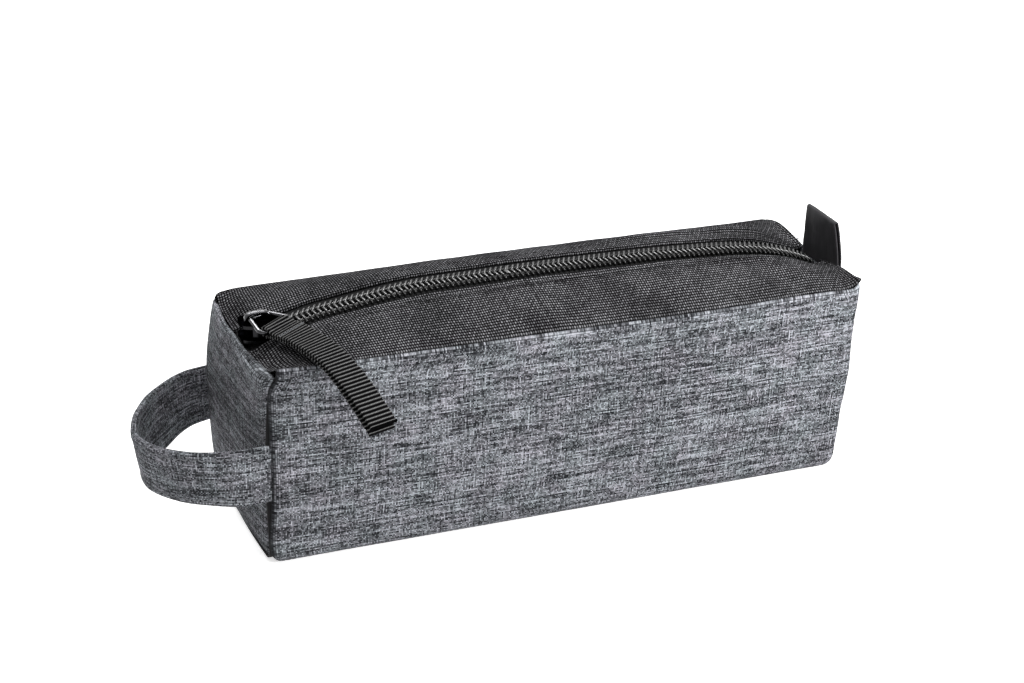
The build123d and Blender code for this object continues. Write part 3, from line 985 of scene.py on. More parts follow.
def wind_coil(maker, given):
    """Winds a flattened coil beside a path, with a core cord inside it."""
    path, per_turn, side = given["Geometry"], given["Points per turn"], given["Side"]
    wire, height = given["Wire"], given["Height"]
    turns = maker.out("GeometryNodeCurveLength", {0: path}) / given["Pitch"]
    count = maker.math("FLOOR", turns * per_turn) + 1.0
    again = maker.out("GeometryNodeResampleCurve", {"Curve": path, "Count": count})
    angle = maker.out("GeometryNodeInputIndex") / per_turn * (2 * math.pi)

    def squared(wave):
        return maker.math("SIGN", wave) * maker.math("ABSOLUTE", wave) ** COIL_SQUARE

    def moved(curve, x, y, z):
        return maker.out("GeometryNodeSetPosition", {"Geometry": curve, "Offset": maker.join(x, y, z)})

    to_head = maker.math("COSINE", angle)
    sway, bounce = squared(to_head), squared(maker.math("SINE", angle))
    half_wire = wire * 0.5
    outer, inner = given["Reach"] - half_wire, half_wire - given["Overlap"]
    across = ((outer + inner) * 0.5 - sway * ((outer - inner) * 0.5)) * side
    middle = given["Seat"] + height * 0.5
    rise = bounce * ((height - wire) * 0.5) + middle
    wound = moved(again, sway * given["Slant"] * -1.0, across, rise)
    thick_heads = maker.math("MAXIMUM", to_head, 0.0) ** 3.0 * HEAD_SWELL + 1.0
    wound = maker.out("GeometryNodeSetCurveRadius", {"Curve": wound, "Radius": thick_heads})
    coil = maker.pipe(wound, half_wire, COIL_SIDES, maker.out("GeometryNodeInputRadius"))
    core_path = moved(path, 0.0, outer * CORE_PLACE * side, middle)
    core = maker.pipe(core_path, (height - wire) * CORE_WIDTH, CORE_SIDES)
    both = maker.put("GeometryNodeJoinGeometry")
    for part in (coil, core):
        maker.link(part, both.inputs[0])
    return maker.out("GeometryNodeSetShadeSmooth", {"Geometry": both.outputs[0]})


def lay_stitches(maker, given):
    """Lays stitches end to end along a path: each is a short thread that dives in at both ends."""
    length, sink = given["Stitch length"], given["Sink"]
    half_run = (length - given["Gap"]) * 0.5
    reach, low, high = half_run * 0.55, sink * -1.0, sink * 1.4
    arc = maker.out("GeometryNodeCurvePrimitiveBezierSegment", {
        "Resolution": STITCH_BENDS,
        "Start": maker.join(0.0, low, half_run * -1.0),
        "Start Handle": maker.join(0.0, high, reach * -1.0),
        "End Handle": maker.join(0.0, high, reach),
        "End": maker.join(0.0, low, half_run),
    })
    spots = maker.put(
        "GeometryNodeCurveToPoints", {"Curve": given["Geometry"], "Length": length}, mode="LENGTH"
    )
    laid = maker.out("GeometryNodeInstanceOnPoints", {
        "Points": spots.outputs["Points"],
        "Instance": maker.pipe(arc, given["Thread"] * 0.5, THREAD_SIDES),
        "Rotation": spots.outputs["Rotation"],
    })
    real = maker.out("GeometryNodeRealizeInstances", {0: laid})
    return maker.out("GeometryNodeSetShadeSmooth", {"Geometry": real})


def raise_ribs(maker, given):
    """Raises ribs across a webbing: the attribute rib_place holds the length along it."""
    place = maker.out("GeometryNodeInputNamedAttribute", {"Name": "rib_place"}, data_type="FLOAT")
    sunk = (rib_crown(maker, place / given["Rib pitch"]) ** 0.55 - 1.0) * given["Rib depth"]
    facing = maker.out("GeometryNodeInputNormal")
    offset = maker.out("ShaderNodeVectorMath", {0: facing, "Scale": sunk}, operation="SCALE")
    return maker.out("GeometryNodeSetPosition", {"Geometry": given["Geometry"], "Offset": offset})


# What builds each tree, and the numbers that it takes
TREES = {
    "Coil winding": (wind_coil, {
        "Pitch": 0.00188, "Points per turn": 14, "Wire": 0.0008, "Reach": 0.0046, "Overlap": 0.0006,
        "Height": 0.0024, "Seat": 0.0002, "Side": 1.0, "Slant": 0.0,
    }),
    "Row of stitches": (lay_stitches, {
        "Stitch length": 0.0028, "Gap": 0.0006, "Thread": 0.0003, "Sink": 0.0002,
    }),
    "Webbing ribs": (raise_ribs, {"Rib pitch": 0.00135, "Rib depth": 0.0003}),
}


def tree_of(name):
    """A geometry node tree, made once, that ends in Realize Instances and Set Material."""
    if name in bpy.data.node_groups:
        return bpy.data.node_groups[name]
    tree = bpy.data.node_groups.new(name, "GeometryNodeTree")
    build, numbers = TREES[name]
    kinds = {label: "Int" if isinstance(number, int) else "Float" for label, number in numbers.items()}
    for label, kind in {"Geometry": "Geometry", **kinds, "Material": "Material"}.items():
        socket = tree.interface.new_socket(label, in_out="INPUT", socket_type="NodeSocket" + kind)
        if label in numbers:
            socket.default_value = numbers[label]
    tree.interface.new_socket("Geometry", in_out="OUTPUT", socket_type="NodeSocketGeometry")
    maker = Maker(tree)
    given = {socket.name: Value(maker, socket) for socket in maker.put("NodeGroupInput").outputs}
    real = maker.out("GeometryNodeRealizeInstances", {0: build(maker, given)})
    painted = maker.out("GeometryNodeSetMaterial", {"Geometry": real, "Material": given["Material"]})
    maker.put("NodeGroupOutput", {0: painted})
    return tree


def run_tree(piece, name, values):
    """Runs a tree on a piece and returns the plain result."""
    tree = tree_of(name)
    run = piece.modifiers.new(name, "NODES")
    run.node_group = tree
    for item in tree.interface.items_tree:
        if item.in_out == "INPUT" and item.name in values:
            run[item.identifier] = values[item.name]
    return freeze(piece)


def path_piece(name, points):
    """A poly curve through points."""
    curve = bpy.data.curves.new(name, "CURVE")
    curve.dimensions = "3D"
    curve.twist_mode = "Z_UP"
    line = curve.splines.new("POLY")
    line.points.add(len(points) - 1)
    for point, place in zip(line.points, points):
        point.co = (*place, 1.0)
    piece = bpy.data.objects.new(name, curve)
    bpy.context.scene.collection.objects.link(piece)
    return piece


def stitches(name, points, finish, length=None):
    """A row of stitches along points."""
    thread = pull_size().thread
    length = length or pull_size().stitch_length
    return run_tree(path_piece(name, points), "Row of stitches", {
        "Stitch length": length, "Gap": length * STITCH_GAP, "Thread": thread, "Sink": thread * STITCH_SINK,
        "Material": finish_of(finish),
    })


# Operators


def stands_for(piece, node, body=None):
    """Hides the CAD part that a piece stands for, and hangs the piece on the body that it rides on as a
    whole, where one is given.
    """
    if body:
        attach(piece, body)
    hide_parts(node)


def bend_with_flap(piece, part):
    """Bakes a piece of the top's place into its mesh, the same for both parts."""
    if part == "left":
        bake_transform(piece)
    else:
        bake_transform(piece)


# Each half of the zip and its panel is made in two parts, with their shares of the bag's length
PARTS = (("left", 0.0, 0.45), ("right", 0.45, 1.0))
ROLL_STEPS = 9
STITCH_STEP, COIL_STEP = mm(1.4, 1.0)  # between the points of their paths
TAPE_STEPS, RIBBON_STEPS = (60, 10), (150, 40)  # along and across
PULL_FACES, STRAP_FACES = (8, 5), (18, 7)  # across a face and round an edge
# Where the end cloths, the strap and the webbing's lower face lie on their cloths' patterns
END_PATTERN, END_SHIFT, STRAP_PATTERN, LOWER_PATTERN = 0.3, 0.1, 0.5, 0.05


class POUCH_OT_body_cloth(bpy.types.Operator):
    """Make the grey cloth of the front, the base and the back"""

    bl_idname = "pouch.body_cloth"
    bl_label = "Body Cloth"

    def execute(self, context):
        s, girth = size(), cloth_girth()
        cloth = woven_grid(
            "body_cloth", x_shares(), stations(0.0, girth, s.mesh_step, spread=mm(1.6)), body_place,
            lambda share, along: (share * s.length, along), "melange_cloth",
        )
        # the black cut edges are painted shade in the seam's groove
        cloth = thicken(cloth, s.cloth, "black_thread")
        stands_for(cloth, "body_panel", "pouch")
        return {"FINISHED"}


class POUCH_OT_end_cloths(bpy.types.Operator):
    """Make the two grey end cloths"""

    bl_idname = "pouch.end_cloths"
    bl_label = "End Cloths"

    def execute(self, context):
        s = size()
        half = s.width / 2
        acrosses = [place / half for place in stations(-half, half, s.mesh_step)]
        rises = [(place / s.height, 0.0) for place in stations(0.0, s.height, s.mesh_step)]
        rises += [(1.0, i / ROLL_STEPS) for i in range(1, ROLL_STEPS + 1)]
        for side, word in ((LEFT, "left"), (RIGHT, "right")):
            rolled = END_ROLL[side] * ROLL_TURN
            cloth = woven_grid(
                f"{word}_end_cloth", acrosses, rises, lambda across, rise: end_place(side, across, *rise),
                lambda across, rise: (
                    END_PATTERN + across * half, END_SHIFT * side + rise[0] * s.height + rise[1] * rolled
                ),
                "melange_cloth", flip=side == LEFT,
            )
            # the black cut edges are painted shade in the seam's groove
            cloth = thicken(cloth, s.cloth, "black_thread")
            stands_for(cloth, f"{word}_end_panel", "pouch")
            s.height + rolled
        return {"FINISHED"}


class POUCH_OT_top_panels(bpy.types.Operator):
    """Make the black top panels, each in a left and a right part, with their rows of stitches"""

    bl_idname = "pouch.top_panels"
    bl_label = "Top Panels"

    def execute(self, context):
        s = size()
        for side, word in SIDES:
            reaches = panel_reaches(side)
            for part, low, high in PARTS:
                shares = x_shares(low, high)
                if part == "left":
                    shares.append(x_shares(high, 1.0)[0])
                cloth = woven_grid(
                    f"{word}_top_{part}", shares, reaches,
                    lambda share, reach: panel_place(side, share, reach),
                    lambda share, reach: (share * s.length, side * reach),
                    "black_weave", flip=side == BACK,
                )
                cloth = thicken(cloth, s.top_cloth)
                length = (shares[-1] - shares[0]) * s.length
                line = [
                    panel_place(side, share, fold_reach(side) - STITCH_LINE)
                    for share in even(shares[0], shares[-1], round(length / STITCH_STEP))
                ]
                for piece in (cloth, stitches(f"{word}_stitches_{part}", line, "black_thread")):
                    bend_with_flap(piece, part)
                    stands_for(piece, f"{word}_top_panel")
        return {"FINISHED"}


TAPE_THICKNESS = mm(0.5)
TAPE_FROM, TAPE_APART = mm(1.6, 0.4)  # inside each end, and from the middle of the zip


def tape_place(side, x_share, reach):
    """A point on the top face of a zip tape: reach runs from the middle of the zip outwards."""
    s = size()
    x_from, x_to = end_x(LEFT, 0, s.height) + TAPE_FROM, end_x(RIGHT, 0, s.height) - TAPE_FROM
    x = between(x_from, x_to, x_share)
    y = side * (TAPE_APART + reach)
    cover = panel_z(side, x, side * max(abs(y), slot_edge(side))) - PANEL_RISE + mm(0.1)
    return Vector((x, y, min(chain_z(x), cover)))


class POUCH_OT_zip_tapes(bpy.types.Operator):
    """Make the zip's two tapes"""

    bl_idname = "pouch.zip_tapes"
    bl_label = "Zip Tapes"

    def execute(self, context):
        s, z = size(), zip_size()
        for side, word in SIDES:
            for part, low, high in PARTS:
                tape = woven_grid(
                    f"{word}_tape_{part}",
                    even(low, high, TAPE_STEPS[0]), even(0.0, z.tape_width, TAPE_STEPS[1]),
                    lambda share, reach: tape_place(side, share, reach),
                    lambda share, reach: (share * s.length, reach),
                    "zip_tape", flip=side == FRONT,
                )
                tape = thicken(tape, TAPE_THICKNESS)
                bend_with_flap(tape, part)
                stands_for(tape, f"{word}_zipper_tape")
        return {"FINISHED"}


COIL_START = mm(-92.6)  # the chain shows behind the slider from here
COIL_SPLIT = mm(-14.0)
COIL_END = mm(103.2)
COIL_SLANT = {FRONT: mm(-0.05), BACK: mm(0.75)}


class POUCH_OT_zip_coils(bpy.types.Operator):
    """Wind the two coils of the chain"""

    bl_idname = "pouch.zip_coils"
    bl_label = "Zip Coils"

    def execute(self, context):
        z = zip_size()
        split = COIL_START + round((COIL_SPLIT - COIL_START) / z.pitch) * z.pitch
        for side, word in SIDES:
            shift = z.pitch / 2 if side == BACK else 0.0
            for part, low, high in (("left", COIL_START, split), ("right", split, COIL_END)):
                xs = even(low + shift, high + shift, round((high - low) / COIL_STEP))
                path = path_piece(f"{word}_coil_{part}", [(x, 0.0, chain_z(x)) for x in xs])
                coil = run_tree(path, "Coil winding", {
                    "Pitch": z.pitch, "Wire": z.wire, "Reach": z.coil_reach, "Overlap": z.coil_overlap,
                    "Height": z.coil_height, "Seat": COIL_SEAT, "Side": float(side),
                    "Slant": COIL_SLANT[side], "Material": finish_of("coil_nylon"),
                })
                bend_with_flap(coil, part)
                stands_for(coil, f"{word}_zipper_coil")
        return {"FINISHED"}


CROWN_WIDTH = mm(2.0)
CROWN_STRAP = mm(1.0)
CROWN_STEPS = 60
# The middle line of the slider's arch: (share, x, z) in millimetres
CROWN_POINTS = [
    (0.0, -103.7, 71.7), (0.14, -103.7, 72.7), (0.26, -103.35, 73.75), (0.36, -102.5, 74.4),
    (0.5, -100.6, 74.68), (0.68, -98.0, 74.72), (0.78, -96.7, 74.45), (0.86, -95.95, 73.6),
    (0.93, -95.8, 72.7), (1.0, -95.8, 71.7),
]
BAND_EDGE = 0.42  # radius of the arch's edges, as a share of its thickness
BAND_STEPS = 5


def band_section(width, thickness):
    """Points round a metal band with slightly rounded edges."""
    corner = thickness * BAND_EDGE
    section = []
    for quarter, (across, out) in enumerate(((1, 1), (-1, 1), (-1, -1), (1, -1))):
        for share in even(0, 1, BAND_STEPS):
            turn = math.pi / 2 * (quarter + share)
            section.append((
                across * (width / 2 - corner) + corner * math.cos(turn),
                out * (thickness / 2 - corner) + corner * math.sin(turn),
            ))
    return section + section[:1]


def repaint(part, finish):
    """Gives a CAD part that stays in the picture its finish."""
    part.data.materials.clear()
    part.data.materials.append(finish_of(finish))


class POUCH_OT_slider(bpy.types.Operator):
    """Give the slider its finish and bend its arch"""

    bl_idname = "pouch.slider"
    bl_label = "Slider"

    def execute(self, context):
        repaint(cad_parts["slider_body"], "black_nickel")
        points = []
        for share in even(0, 1, CROWN_STEPS):
            x, z = table_row(CROWN_POINTS, share)
            points.append(Vector(mm3(x, 0, z)))
        outs = [Vector((-run.z, 0, run.x)) for run in directions(points)]
        line = [(point, Vector((0, 1, 0)), out) for point, out in zip(points, outs)]
        arch = sweep("slider_arch", line, band_section(CROWN_WIDTH, CROWN_STRAP), "dark_nickel")
        close_tube(arch.data)
        stands_for(arch, "slider_crown", "slider")
        return {"FINISHED"}


RING_PIVOT = Vector(mm3(-100.202, 0.0, 73.16))
RING_BAR = Vector((0.8829, 0.4695, 0))
PULL_RUN = Vector((0.4695, -0.8829, 0))
TAB_PIVOT = Vector(mm3(-96.067, -9.693, 73.16))
TAB_BAR = Vector((0.845, 0.515, 0.145)).normalized()  # the ring's outer bar
RING_WIRE = mm(1.6)
RING_NEAR, RING_FAR = mm(2.6, 4.6)  # the inner bar either side of the arch
RING_OUTER = mm(6.6)  # half the outer bar
RING_CORNER = mm(2.0)
RING_SIDES = 14
TAB_RUN = Vector((math.cos(math.radians(70)), -math.sin(math.radians(70)), 0))
TAB_LENGTH = mm(53.0)
TAB_START = mm(1.55)  # the ring's outer bar to where both layers lie together
# Height of the pull over the ring's bar in millimetres, by share of its length
TAB_RISE = [(0, 0.0), (0.1, 0.5), (0.22, 0.9), (0.5, -0.81), (0.74, -6.64), (1, -16.2)]
TAB_SWELL = mm(1.5)  # how far the lower layer hangs off the upper one at its end
TACK_PLACE = mm(8.6)  # the ring's outer bar to the row that tacks both layers together
TACK_STITCH = mm(1.1)
TACK_WIDTH = 0.86  # share of the webbing's width
TACK_STEPS = 40
EYE_ROOM, EYE_REACH = mm(0.2, 5.0)  # between the ring and the webbing, and where the two layers part
WEBBING_LAYER = mm(1.1)
# Direction of the webbing's width, by share of its length
WEBBING_FACES = [(0, *TAB_BAR), (0.06, 0.80, 0.58, 0.17), (0.16, 0.80, 0.57, 0.17),
                 (0.35, 0.88, 0.44, 0.13), (0.6, 0.91, 0.41, 0.07), (1, 0.93, 0.37, 0.0)]


def rounded_ring(corners, radius, steps=8):
    """Points round a closed outline with rounded corners."""
    points = []
    for i, corner in enumerate(corners):
        before, after = corners[i - 1], corners[(i + 1) % len(corners)]
        come, leave = (corner - before).normalized(), (after - corner).normalized()
        bend = come.angle(leave)
        reach = radius * math.tan(bend / 2)
        first, last = corner - come * reach, corner + leave * reach
        across = (leave - come).normalized()
        centre = first + (across - come * across.dot(come)).normalized() * radius
        for k in range(steps + 1):
            turn = bend * k / steps
            spoke = first - centre
            points.append(centre + spoke * math.cos(turn) + come * radius * math.sin(turn))
        points[-1] = last
    return points


def tab_share(along):
    return clamp((along - TAB_START) / TAB_LENGTH)


def tab_middle(along):
    """Middle of the pull at a plan length from the ring's bar."""
    plan = TAB_PIVOT + PULL_RUN * min(along, TAB_START) + TAB_RUN * max(0.0, along - TAB_START)
    return plan + Vector((0, 0, through(TAB_RISE, tab_share(along)) * MM))


def tab_place(along):
    """(middle, run, width direction, upward direction) of the pull at a plan length from the ring."""
    run = (tab_middle(along + mm(0.4)) - tab_middle(along - mm(0.4))).normalized()
    width = Vector(table_row(WEBBING_FACES, tab_share(along)))
    width = (width - run * width.dot(run)).normalized()
    return tab_middle(along), run, width, width.cross(run).normalized()


def tab_layer(along, layer):
    """(middle, width direction, outward direction) of the pull's upper (1) or lower (-1) layer."""
    point, _, width, up = tab_place(along)
    eye = RING_WIRE / 2 + EYE_ROOM + WEBBING_LAYER / 2
    near = smooth(1 - along / EYE_REACH)
    spread = TAB_SWELL * ease(along, 12, 40) ** 1.3 if layer < 0 else 0.0
    off = WEBBING_LAYER / 2 + mm(0.02) + (eye - WEBBING_LAYER / 2) * near + spread
    return point + up * layer * off, width, up * layer


def tab_stations():
    """[(middle, width direction, outward direction)] from the lower end round the eye to the upper end."""
    step = pull_size().rib_pitch / 7
    end = TAB_START + TAB_LENGTH
    alongs = even(0.0, end, round(end / step))
    lower = [tab_layer(along, -1) for along in reversed(alongs)]
    upper = [tab_layer(along, 1) for along in alongs]
    point, run, width, up = tab_place(0.0)
    eye = (upper[0][0] - point).length
    round_eye = []
    for angle in even(0.0, math.pi, round(math.pi * eye / step))[1:-1]:
        out = up * -math.cos(angle) - run * math.sin(angle)
        round_eye.append((point + out * eye, width, out))
    return lower + round_eye + upper


def flat_section(width, thickness, flat, edge):
    """Points round a cloth band with round edges: flat steps across a face and edge steps round an edge."""
    radius = thickness / 2
    face = width / 2 - radius
    ring = []
    for side in (1, -1):
        ring += [(side * across, side * radius) for across in even(-face, face, flat)[:-1]]
        for turn in even(0.0, math.pi, edge)[:-1]:
            ring.append((side * (face + radius * math.sin(turn)), side * radius * math.cos(turn)))
    return ring + ring[:1]


def running_lengths(points, apart=lambda before, point: (point - before).length):
    """Length from the first of some points to each of them."""
    lengths = [0.0]
    for before, point in zip(points, points[1:]):
        lengths.append(lengths[-1] + apart(before, point))
    return lengths


class POUCH_OT_pull_ring(bpy.types.Operator):
    """Bend the ring that joins the pull to the slider"""

    bl_idname = "pouch.pull_ring"
    bl_label = "Pull Ring"

    def execute(self, context):
        corners = [
            RING_PIVOT - RING_BAR * RING_NEAR,
            TAB_PIVOT - TAB_BAR * RING_OUTER,
            TAB_PIVOT + TAB_BAR * RING_OUTER,
            RING_PIVOT + RING_BAR * RING_FAR,
        ]
        points = rounded_ring(corners, RING_CORNER)
        line = []
        for point, run in zip(points, directions(points, closed=True)):
            across = run.cross(Vector((0, 0, 1))).normalized()
            line.append((point, across, across.cross(run).normalized()))
        turns = even(0, 2 * math.pi, RING_SIDES)
        section = [(RING_WIRE / 2 * math.cos(turn), RING_WIRE / 2 * math.sin(turn)) for turn in turns]
        ring = sweep("wire_ring", line + line[:1], section, "dark_nickel")
        close_tube(ring.data)
        stands_for(ring, "pull_ring", "pull_ring")
        return {"FINISHED"}


class POUCH_OT_pull_tab(bpy.types.Operator):
    """Fold the ribbed webbing round the ring and tack its two layers together"""

    bl_idname = "pouch.pull_tab"
    bl_label = "Pull Tab"

    def execute(self, context):
        p = pull_size()
        places = tab_stations()
        lengths = running_lengths([middle for middle, _, _ in places])
        section = flat_section(p.webbing_width, WEBBING_LAYER, *PULL_FACES)

        def flat(row, point):
            return lengths[row], point[0] + (LOWER_PATTERN if point[1] < 0 else 0.0)

        tab = sweep("webbing_pull", places, section, "black_webbing", flat)
        marks = tab.data.attributes.new("rib_place", "FLOAT", "POINT")
        for i, mark in enumerate(marks.data):
            mark.value = lengths[i // len(section)]
        close_tube(tab.data)
        tab = run_tree(tab, "Webbing ribs", {
            "Rib pitch": p.rib_pitch, "Rib depth": p.rib_depth, "Material": finish_of("black_webbing"),
        })
        pieces = [tab]
        for layer, word in ((1, "upper"), (-1, "lower")):
            middle, width, out = tab_layer(TACK_PLACE, layer)
            reach = p.webbing_width * TACK_WIDTH / 2
            start = middle + out * WEBBING_LAYER / 2
            line = [start + width * across for across in even(-reach, reach, TACK_STEPS)]
            pieces.append(stitches(f"bar_tack_{word}", line, "grey_thread", TACK_STITCH))
        for piece in pieces:
            stands_for(piece, "pull_tab", "pull_tab")
        return {"FINISHED"}


# The strap's upper and lower edges seen from above: (share of its length, x, y) in millimetres
STRAP_TOP = [
    (0.0, -104.9, -32.5), (0.1, -114.5, -33.1), (0.22, -127.0, -31.0), (0.34, -137.3, -23.8),
    (0.45, -143.2, -13.5), (0.55, -142.6, -4.0), (0.66, -138.4, 8.0), (0.78, -131.0, 19.6),
    (0.9, -118.8, 30.2), (1.0, -106.8, 33.2),
]
STRAP_BOTTOM = [
    (0.0, -105.2, -32.6), (0.1, -114.2, -33.2), (0.22, -125.0, -28.8), (0.34, -133.6, -21.8),
    (0.45, -139.2, -12.8), (0.55, -139.8, -3.4), (0.66, -135.6, 6.8), (0.78, -128.2, 16.6),
    (0.9, -117.8, 28.2), (1.0, -107.2, 33.1),
]
STRAP_MIDDLE = mm(33.4)
STRAP_STEPS = 140
STRAP_BARE = 4  # steps without stitches at each end
STRAP_SEAM = 0.78  # the rows of stitches, as shares of half the strap's width
STRAP_WAVE, STRAP_CRUMPLE, SEAM_DENT = mm(0.35, 0.22, 0.14)


def strap_edge(table, share):
    return Vector((*table_row(table, clamp(share)), 0)) * MM


def strap_place(share, up):
    """(point, outward direction) of the strap's middle layer, up from -1 to 1."""
    low, high = strap_edge(STRAP_BOTTOM, share), strap_edge(STRAP_TOP, share)
    ahead, behind = (
        strap_edge(STRAP_TOP, at) + strap_edge(STRAP_BOTTOM, at) for at in (share + 0.01, share - 0.01)
    )
    width = pull_size().strap_width
    point = between(low, high, (up + 1) / 2)
    point.z = STRAP_MIDDLE + up * width / 2 + STRAP_WAVE * drift(share * 0.1, up * 0.01, 61.0, mm(14))
    rise = Vector((high.x - low.x, high.y - low.y, width)).normalized()
    return point, rise.cross((ahead - behind).normalized()).normalized()


def strap_outline(share, place):
    """A point of the strap's surface, from a place round its section."""
    up, out, _ = place
    point, outward = strap_place(share, up)
    dent = SEAM_DENT * hill(abs(up), 0.76, 0.05) if abs(out) > mm(1.0) else 0.0
    waves = STRAP_CRUMPLE * drift(share * 0.1, up * 0.01, 66.0, mm(8))
    return point + outward * (out - math.copysign(dent, out) + waves)


class POUCH_OT_strap(bpy.types.Operator):
    """Make the strap loop with its stitching"""

    bl_idname = "pouch.strap"
    bl_label = "Strap"

    def execute(self, context):
        p = pull_size()
        shares = even(0, 1, STRAP_STEPS)
        lengths = running_lengths([strap_place(share, 0)[0] for share in shares])
        run_to = dict(zip(shares, lengths))
        ring = flat_section(p.strap_width, p.strap_thickness, *STRAP_FACES)
        rounds = running_lengths(ring, math.dist)
        section = [(up * 2 / p.strap_width, out, length) for (up, out), length in zip(ring, rounds)]
        strap = woven_grid(
            "strap_loop", shares, section, strap_outline,
            lambda share, place: (STRAP_PATTERN + run_to[share], place[2]), "melange_cloth",
        )
        close_tube(strap.data)
        pieces = [strap]
        for side, face in ((1, "outer"), (-1, "inner")):
            for up, row in ((STRAP_SEAM, "upper"), (-STRAP_SEAM, "lower")):
                line = []
                for share in shares[STRAP_BARE:-STRAP_BARE]:
                    point, outward = strap_place(share, up)
                    line.append(point + outward * side * (p.strap_thickness / 2 - mm(0.02)))
                pieces.append(stitches(f"strap_stitches_{face}_{row}", line, "grey_thread"))
        for piece in pieces:
            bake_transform(piece)
            stands_for(piece, "handle_strap")
        return {"FINISHED"}


RIBBON_WIDTH = mm(25.0)
RIBBON_MIDDLE = mm(-4.5)
RIBBON_X = mm(105.97)
RIBBON_TOP = mm(85.5)
RIBBON_FOOT = mm(66.6)
RIBBON_LAYER = mm(0.5)
RIBBON_FOLD = mm(0.68)  # radius of the fold
RIBBON_RISE = RIBBON_TOP - RIBBON_FOLD - RIBBON_FOOT
RIBBON_ARC = math.pi * RIBBON_FOLD
RIBBON_BEND = (mm3(0, 0, 68.0), mm3(0, 0, 71.5))
RIBBON_PINCH, RIBBON_NARROW = 0.35, 0.06  # how much thinner its foot is, and how much narrower its top
# How far its top waves, twists, shifts and slants, and how deep its small creases are
RIBBON_WAVE, RIBBON_TWIST, RIBBON_SHIFT, RIBBON_SLANT, RIBBON_CREASE = mm(0.35, 2.1, 0.3, 1.5, 0.18)


def ribbon_place(along, across):
    """A point of the ribbon's middle: along from the front foot over the fold to the back foot."""
    if along < RIBBON_RISE:
        z, x, lean = RIBBON_FOOT + along, -RIBBON_FOLD, along
    elif along < RIBBON_RISE + RIBBON_ARC:
        turn = (along - RIBBON_RISE) / RIBBON_FOLD
        z = RIBBON_TOP - RIBBON_FOLD + RIBBON_FOLD * math.sin(turn)
        x, lean = -RIBBON_FOLD * math.cos(turn), RIBBON_RISE
    else:
        lean = 2 * RIBBON_RISE + RIBBON_ARC - along
        z, x = RIBBON_FOOT + lean, RIBBON_FOLD
    share = lean / RIBBON_RISE
    pinch = 1 - RIBBON_PINCH * smooth(1 - share * 3)
    x = x * pinch + RIBBON_WAVE * math.sin(2.2 * across + 0.6) * share
    x -= RIBBON_TWIST * (0.5 - across) * share**2
    y = RIBBON_MIDDLE + RIBBON_WIDTH * across * (1 - RIBBON_NARROW * share) + RIBBON_SHIFT * share
    z -= RIBBON_SLANT * across * share
    return Vector((RIBBON_X + x + RIBBON_CREASE * drift(across * 0.03, lean, 71.0, mm(6)), y, z))


class POUCH_OT_ribbon(bpy.types.Operator):
    """Make the folded ribbon at the right end"""

    bl_idname = "pouch.ribbon"
    bl_label = "Ribbon"

    def execute(self, context):
        total = 2 * RIBBON_RISE + RIBBON_ARC
        ribbon = woven_grid(
            "folded_ribbon", even(0.0, total, RIBBON_STEPS[0]), even(-0.5, 0.5, RIBBON_STEPS[1]),
            ribbon_place,
            lambda along, across: (along, across * RIBBON_WIDTH), "satin_ribbon",
        )
        ribbon = solid_cloth(ribbon, RIBBON_LAYER, 0.0)
        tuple(RIBBON_BEND[0])
        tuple(RIBBON_BEND[1])
        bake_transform(ribbon)
        stands_for(ribbon, "end_ribbon")
        return {"FINISHED"}


class POUCH_OT_bindings(bpy.types.Operator):
    """Give the bindings inside the end seams their finish"""

    bl_idname = "pouch.bindings"
    bl_label = "Bindings"

    def execute(self, context):
        for name in ("left_seam_binding", "right_seam_binding"):
            repaint(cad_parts[name], "black_thread")
        return {"FINISHED"}


FLOOR_REACH = 6.0
SENSOR = 36.0  # in millimetres
VIEW_DEPTH = (0.01, 20.0)
# Place, aim, width, height and power of each lamp
LAMPS = {
    "key": ((0.55, -0.45, 0.26), (0.04, 0, 0.04), 0.28, 0.22, 7.1),
    "fill": ((0.25, -1.1, 0.30), (0.05, 0, 0.03), 0.7, 0.5, 2.4),
    "high": ((0.0, -0.30, 0.74), (0, 0, 0.07), 0.42, 0.09, 2.1),
    "left": ((-0.40, -0.12, 0.80), (-0.08, 0, 0.06), 0.3, 0.3, 2.1),
    "back": ((-0.05, 0.9, 0.8), (0, 0, 0.06), 0.6, 0.15, 8.0),
    "glint": ((-0.08, 0.9, 0.53), (-0.1, 0, 0.075), 0.8, 0.035, 1.2),
}


def area_light(name, place, aim, width, height, power):
    light = bpy.data.lights.new(name, "AREA")
    light.shape = "RECTANGLE"
    light.size, light.size_y, light.energy = width, height, power
    lamp = bpy.data.objects.new(name, light)
    lamp.location = place
    lamp.rotation_mode = "QUATERNION"
    lamp.rotation_quaternion = (Vector(aim) - Vector(place)).to_track_quat("-Z", "Y")
    bpy.context.scene.collection.objects.link(lamp)


def camera_turn(azimuth, elevation, roll):
    """The camera's turn, from its right, up and backward directions."""
    level = math.cos(elevation)
    back = Vector((math.sin(azimuth) * level, -math.cos(azimuth) * level, math.sin(elevation)))
    right = Vector((math.cos(azimuth), math.sin(azimuth), 0))
    up = back.cross(right)
    across = right * math.cos(roll) - up * math.sin(roll)
    upwards = right * math.sin(roll) + up * math.cos(roll)
    return Matrix((across, upwards, back)).transposed().to_4x4()


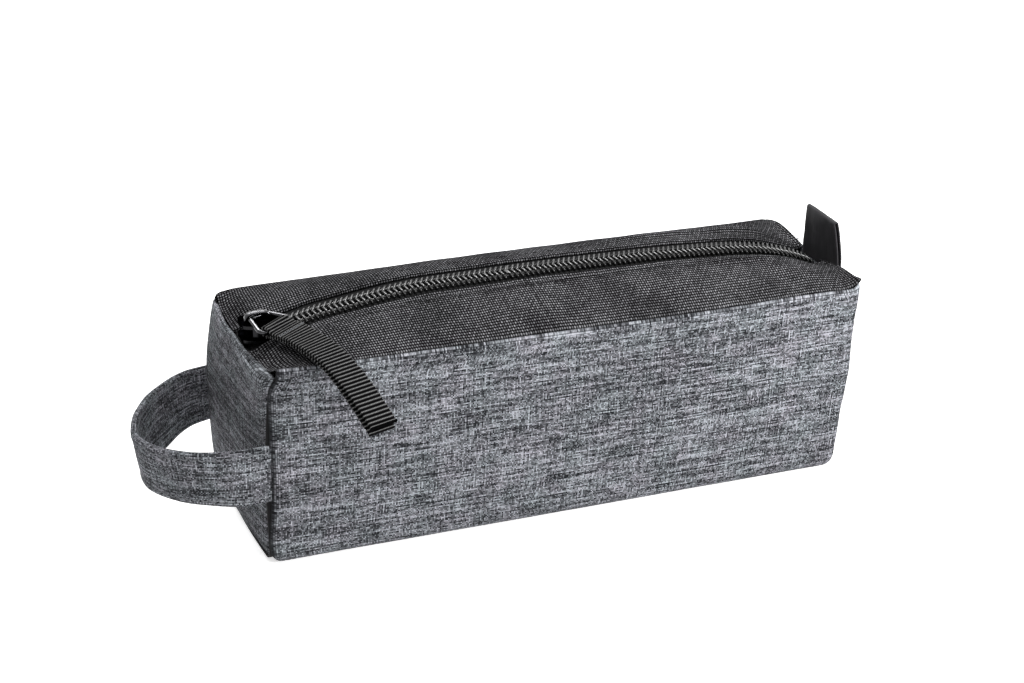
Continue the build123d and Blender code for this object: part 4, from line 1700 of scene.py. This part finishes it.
class POUCH_OT_stage(bpy.types.Operator):
    """Set the floor, the lights, the surround and the camera"""

    bl_idname = "pouch.stage"
    bl_label = "Stage"

    def execute(self, context):
        scene = context.scene
        t = scene.stage_settings
        corners = [(x * FLOOR_REACH, y * FLOOR_REACH, 0) for x, y in ((-1, -1), (1, -1), (1, 1), (-1, 1))]
        new_piece("floor", mesh_of("floor", corners, [(0, 1, 2, 3)]), "floor_paper")

        world = bpy.data.worlds.new("surround")
        world.use_nodes = True
        maker = Maker(world.node_tree)
        background = next(node for node in world.node_tree.nodes if node.type == "BACKGROUND")
        maker.fill(background, {"Color": (1, 1, 1), "Strength": white_to_camera(maker, t.surround, 1.0)})
        scene.world = world
        scene.view_settings.view_transform = "Standard"
        for name, lamp in LAMPS.items():
            area_light(name, *lamp)

        data = bpy.data.cameras.new("camera")
        data.lens, data.sensor_width = t.lens, SENSOR
        data.clip_start, data.clip_end = VIEW_DEPTH
        camera = bpy.data.objects.new("camera", data)
        camera.matrix_world = Matrix.Translation(t.place) @ camera_turn(t.azimuth, t.elevation, t.roll)
        scene.collection.objects.link(camera)
        scene.camera = camera
        return {"FINISHED"}


class POUCH_PT_maker(bpy.types.Panel):
    """The pouch's pieces and sizes"""

    bl_idname = "POUCH_PT_maker"
    bl_label = "Zipped Pouch"
    bl_space_type = "VIEW_3D"
    bl_region_type = "UI"
    bl_category = "Pouch"

    def draw(self, context):
        for operator in OPERATORS:
            self.layout.operator(operator.bl_idname)
        for name in GROUPS:
            group = getattr(context.scene, name)
            box = self.layout.box()
            for field in group.bl_rna.properties:
                if not field.is_readonly:
                    box.prop(group, field.identifier)


GROUPS = {
    "pouch_sizes": PouchSizes,
    "zip_sizes": ZipSizes,
    "pull_sizes": PullSizes,
    "pouch_colours": PouchColours,
    "stage_settings": StageSettings,
}
OPERATORS = [
    POUCH_OT_stage,
    POUCH_OT_body_cloth,
    POUCH_OT_end_cloths,
    POUCH_OT_top_panels,
    POUCH_OT_zip_tapes,
    POUCH_OT_zip_coils,
    POUCH_OT_slider,
    POUCH_OT_pull_ring,
    POUCH_OT_pull_tab,
    POUCH_OT_strap,
    POUCH_OT_ribbon,
    POUCH_OT_bindings,
]


def register():
    for group in GROUPS.values():
        bpy.utils.register_class(group)
    for name, group in GROUPS.items():
        setattr(bpy.types.Scene, name, bpy.props.PointerProperty(type=group))
    for operator in OPERATORS:
        bpy.utils.register_class(operator)
    bpy.utils.register_class(POUCH_PT_maker)


def unregister():
    bpy.utils.unregister_class(POUCH_PT_maker)
    for operator in reversed(OPERATORS):
        bpy.utils.unregister_class(operator)
    for name in GROUPS:
        delattr(bpy.types.Scene, name)
    for group in GROUPS.values():
        bpy.utils.unregister_class(group)


def main():
    register()
    for operator in OPERATORS:
        group, name = operator.bl_idname.split(".")
        getattr(getattr(bpy.ops, group), name)()
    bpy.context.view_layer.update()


if __name__ == "__main__":
    main()
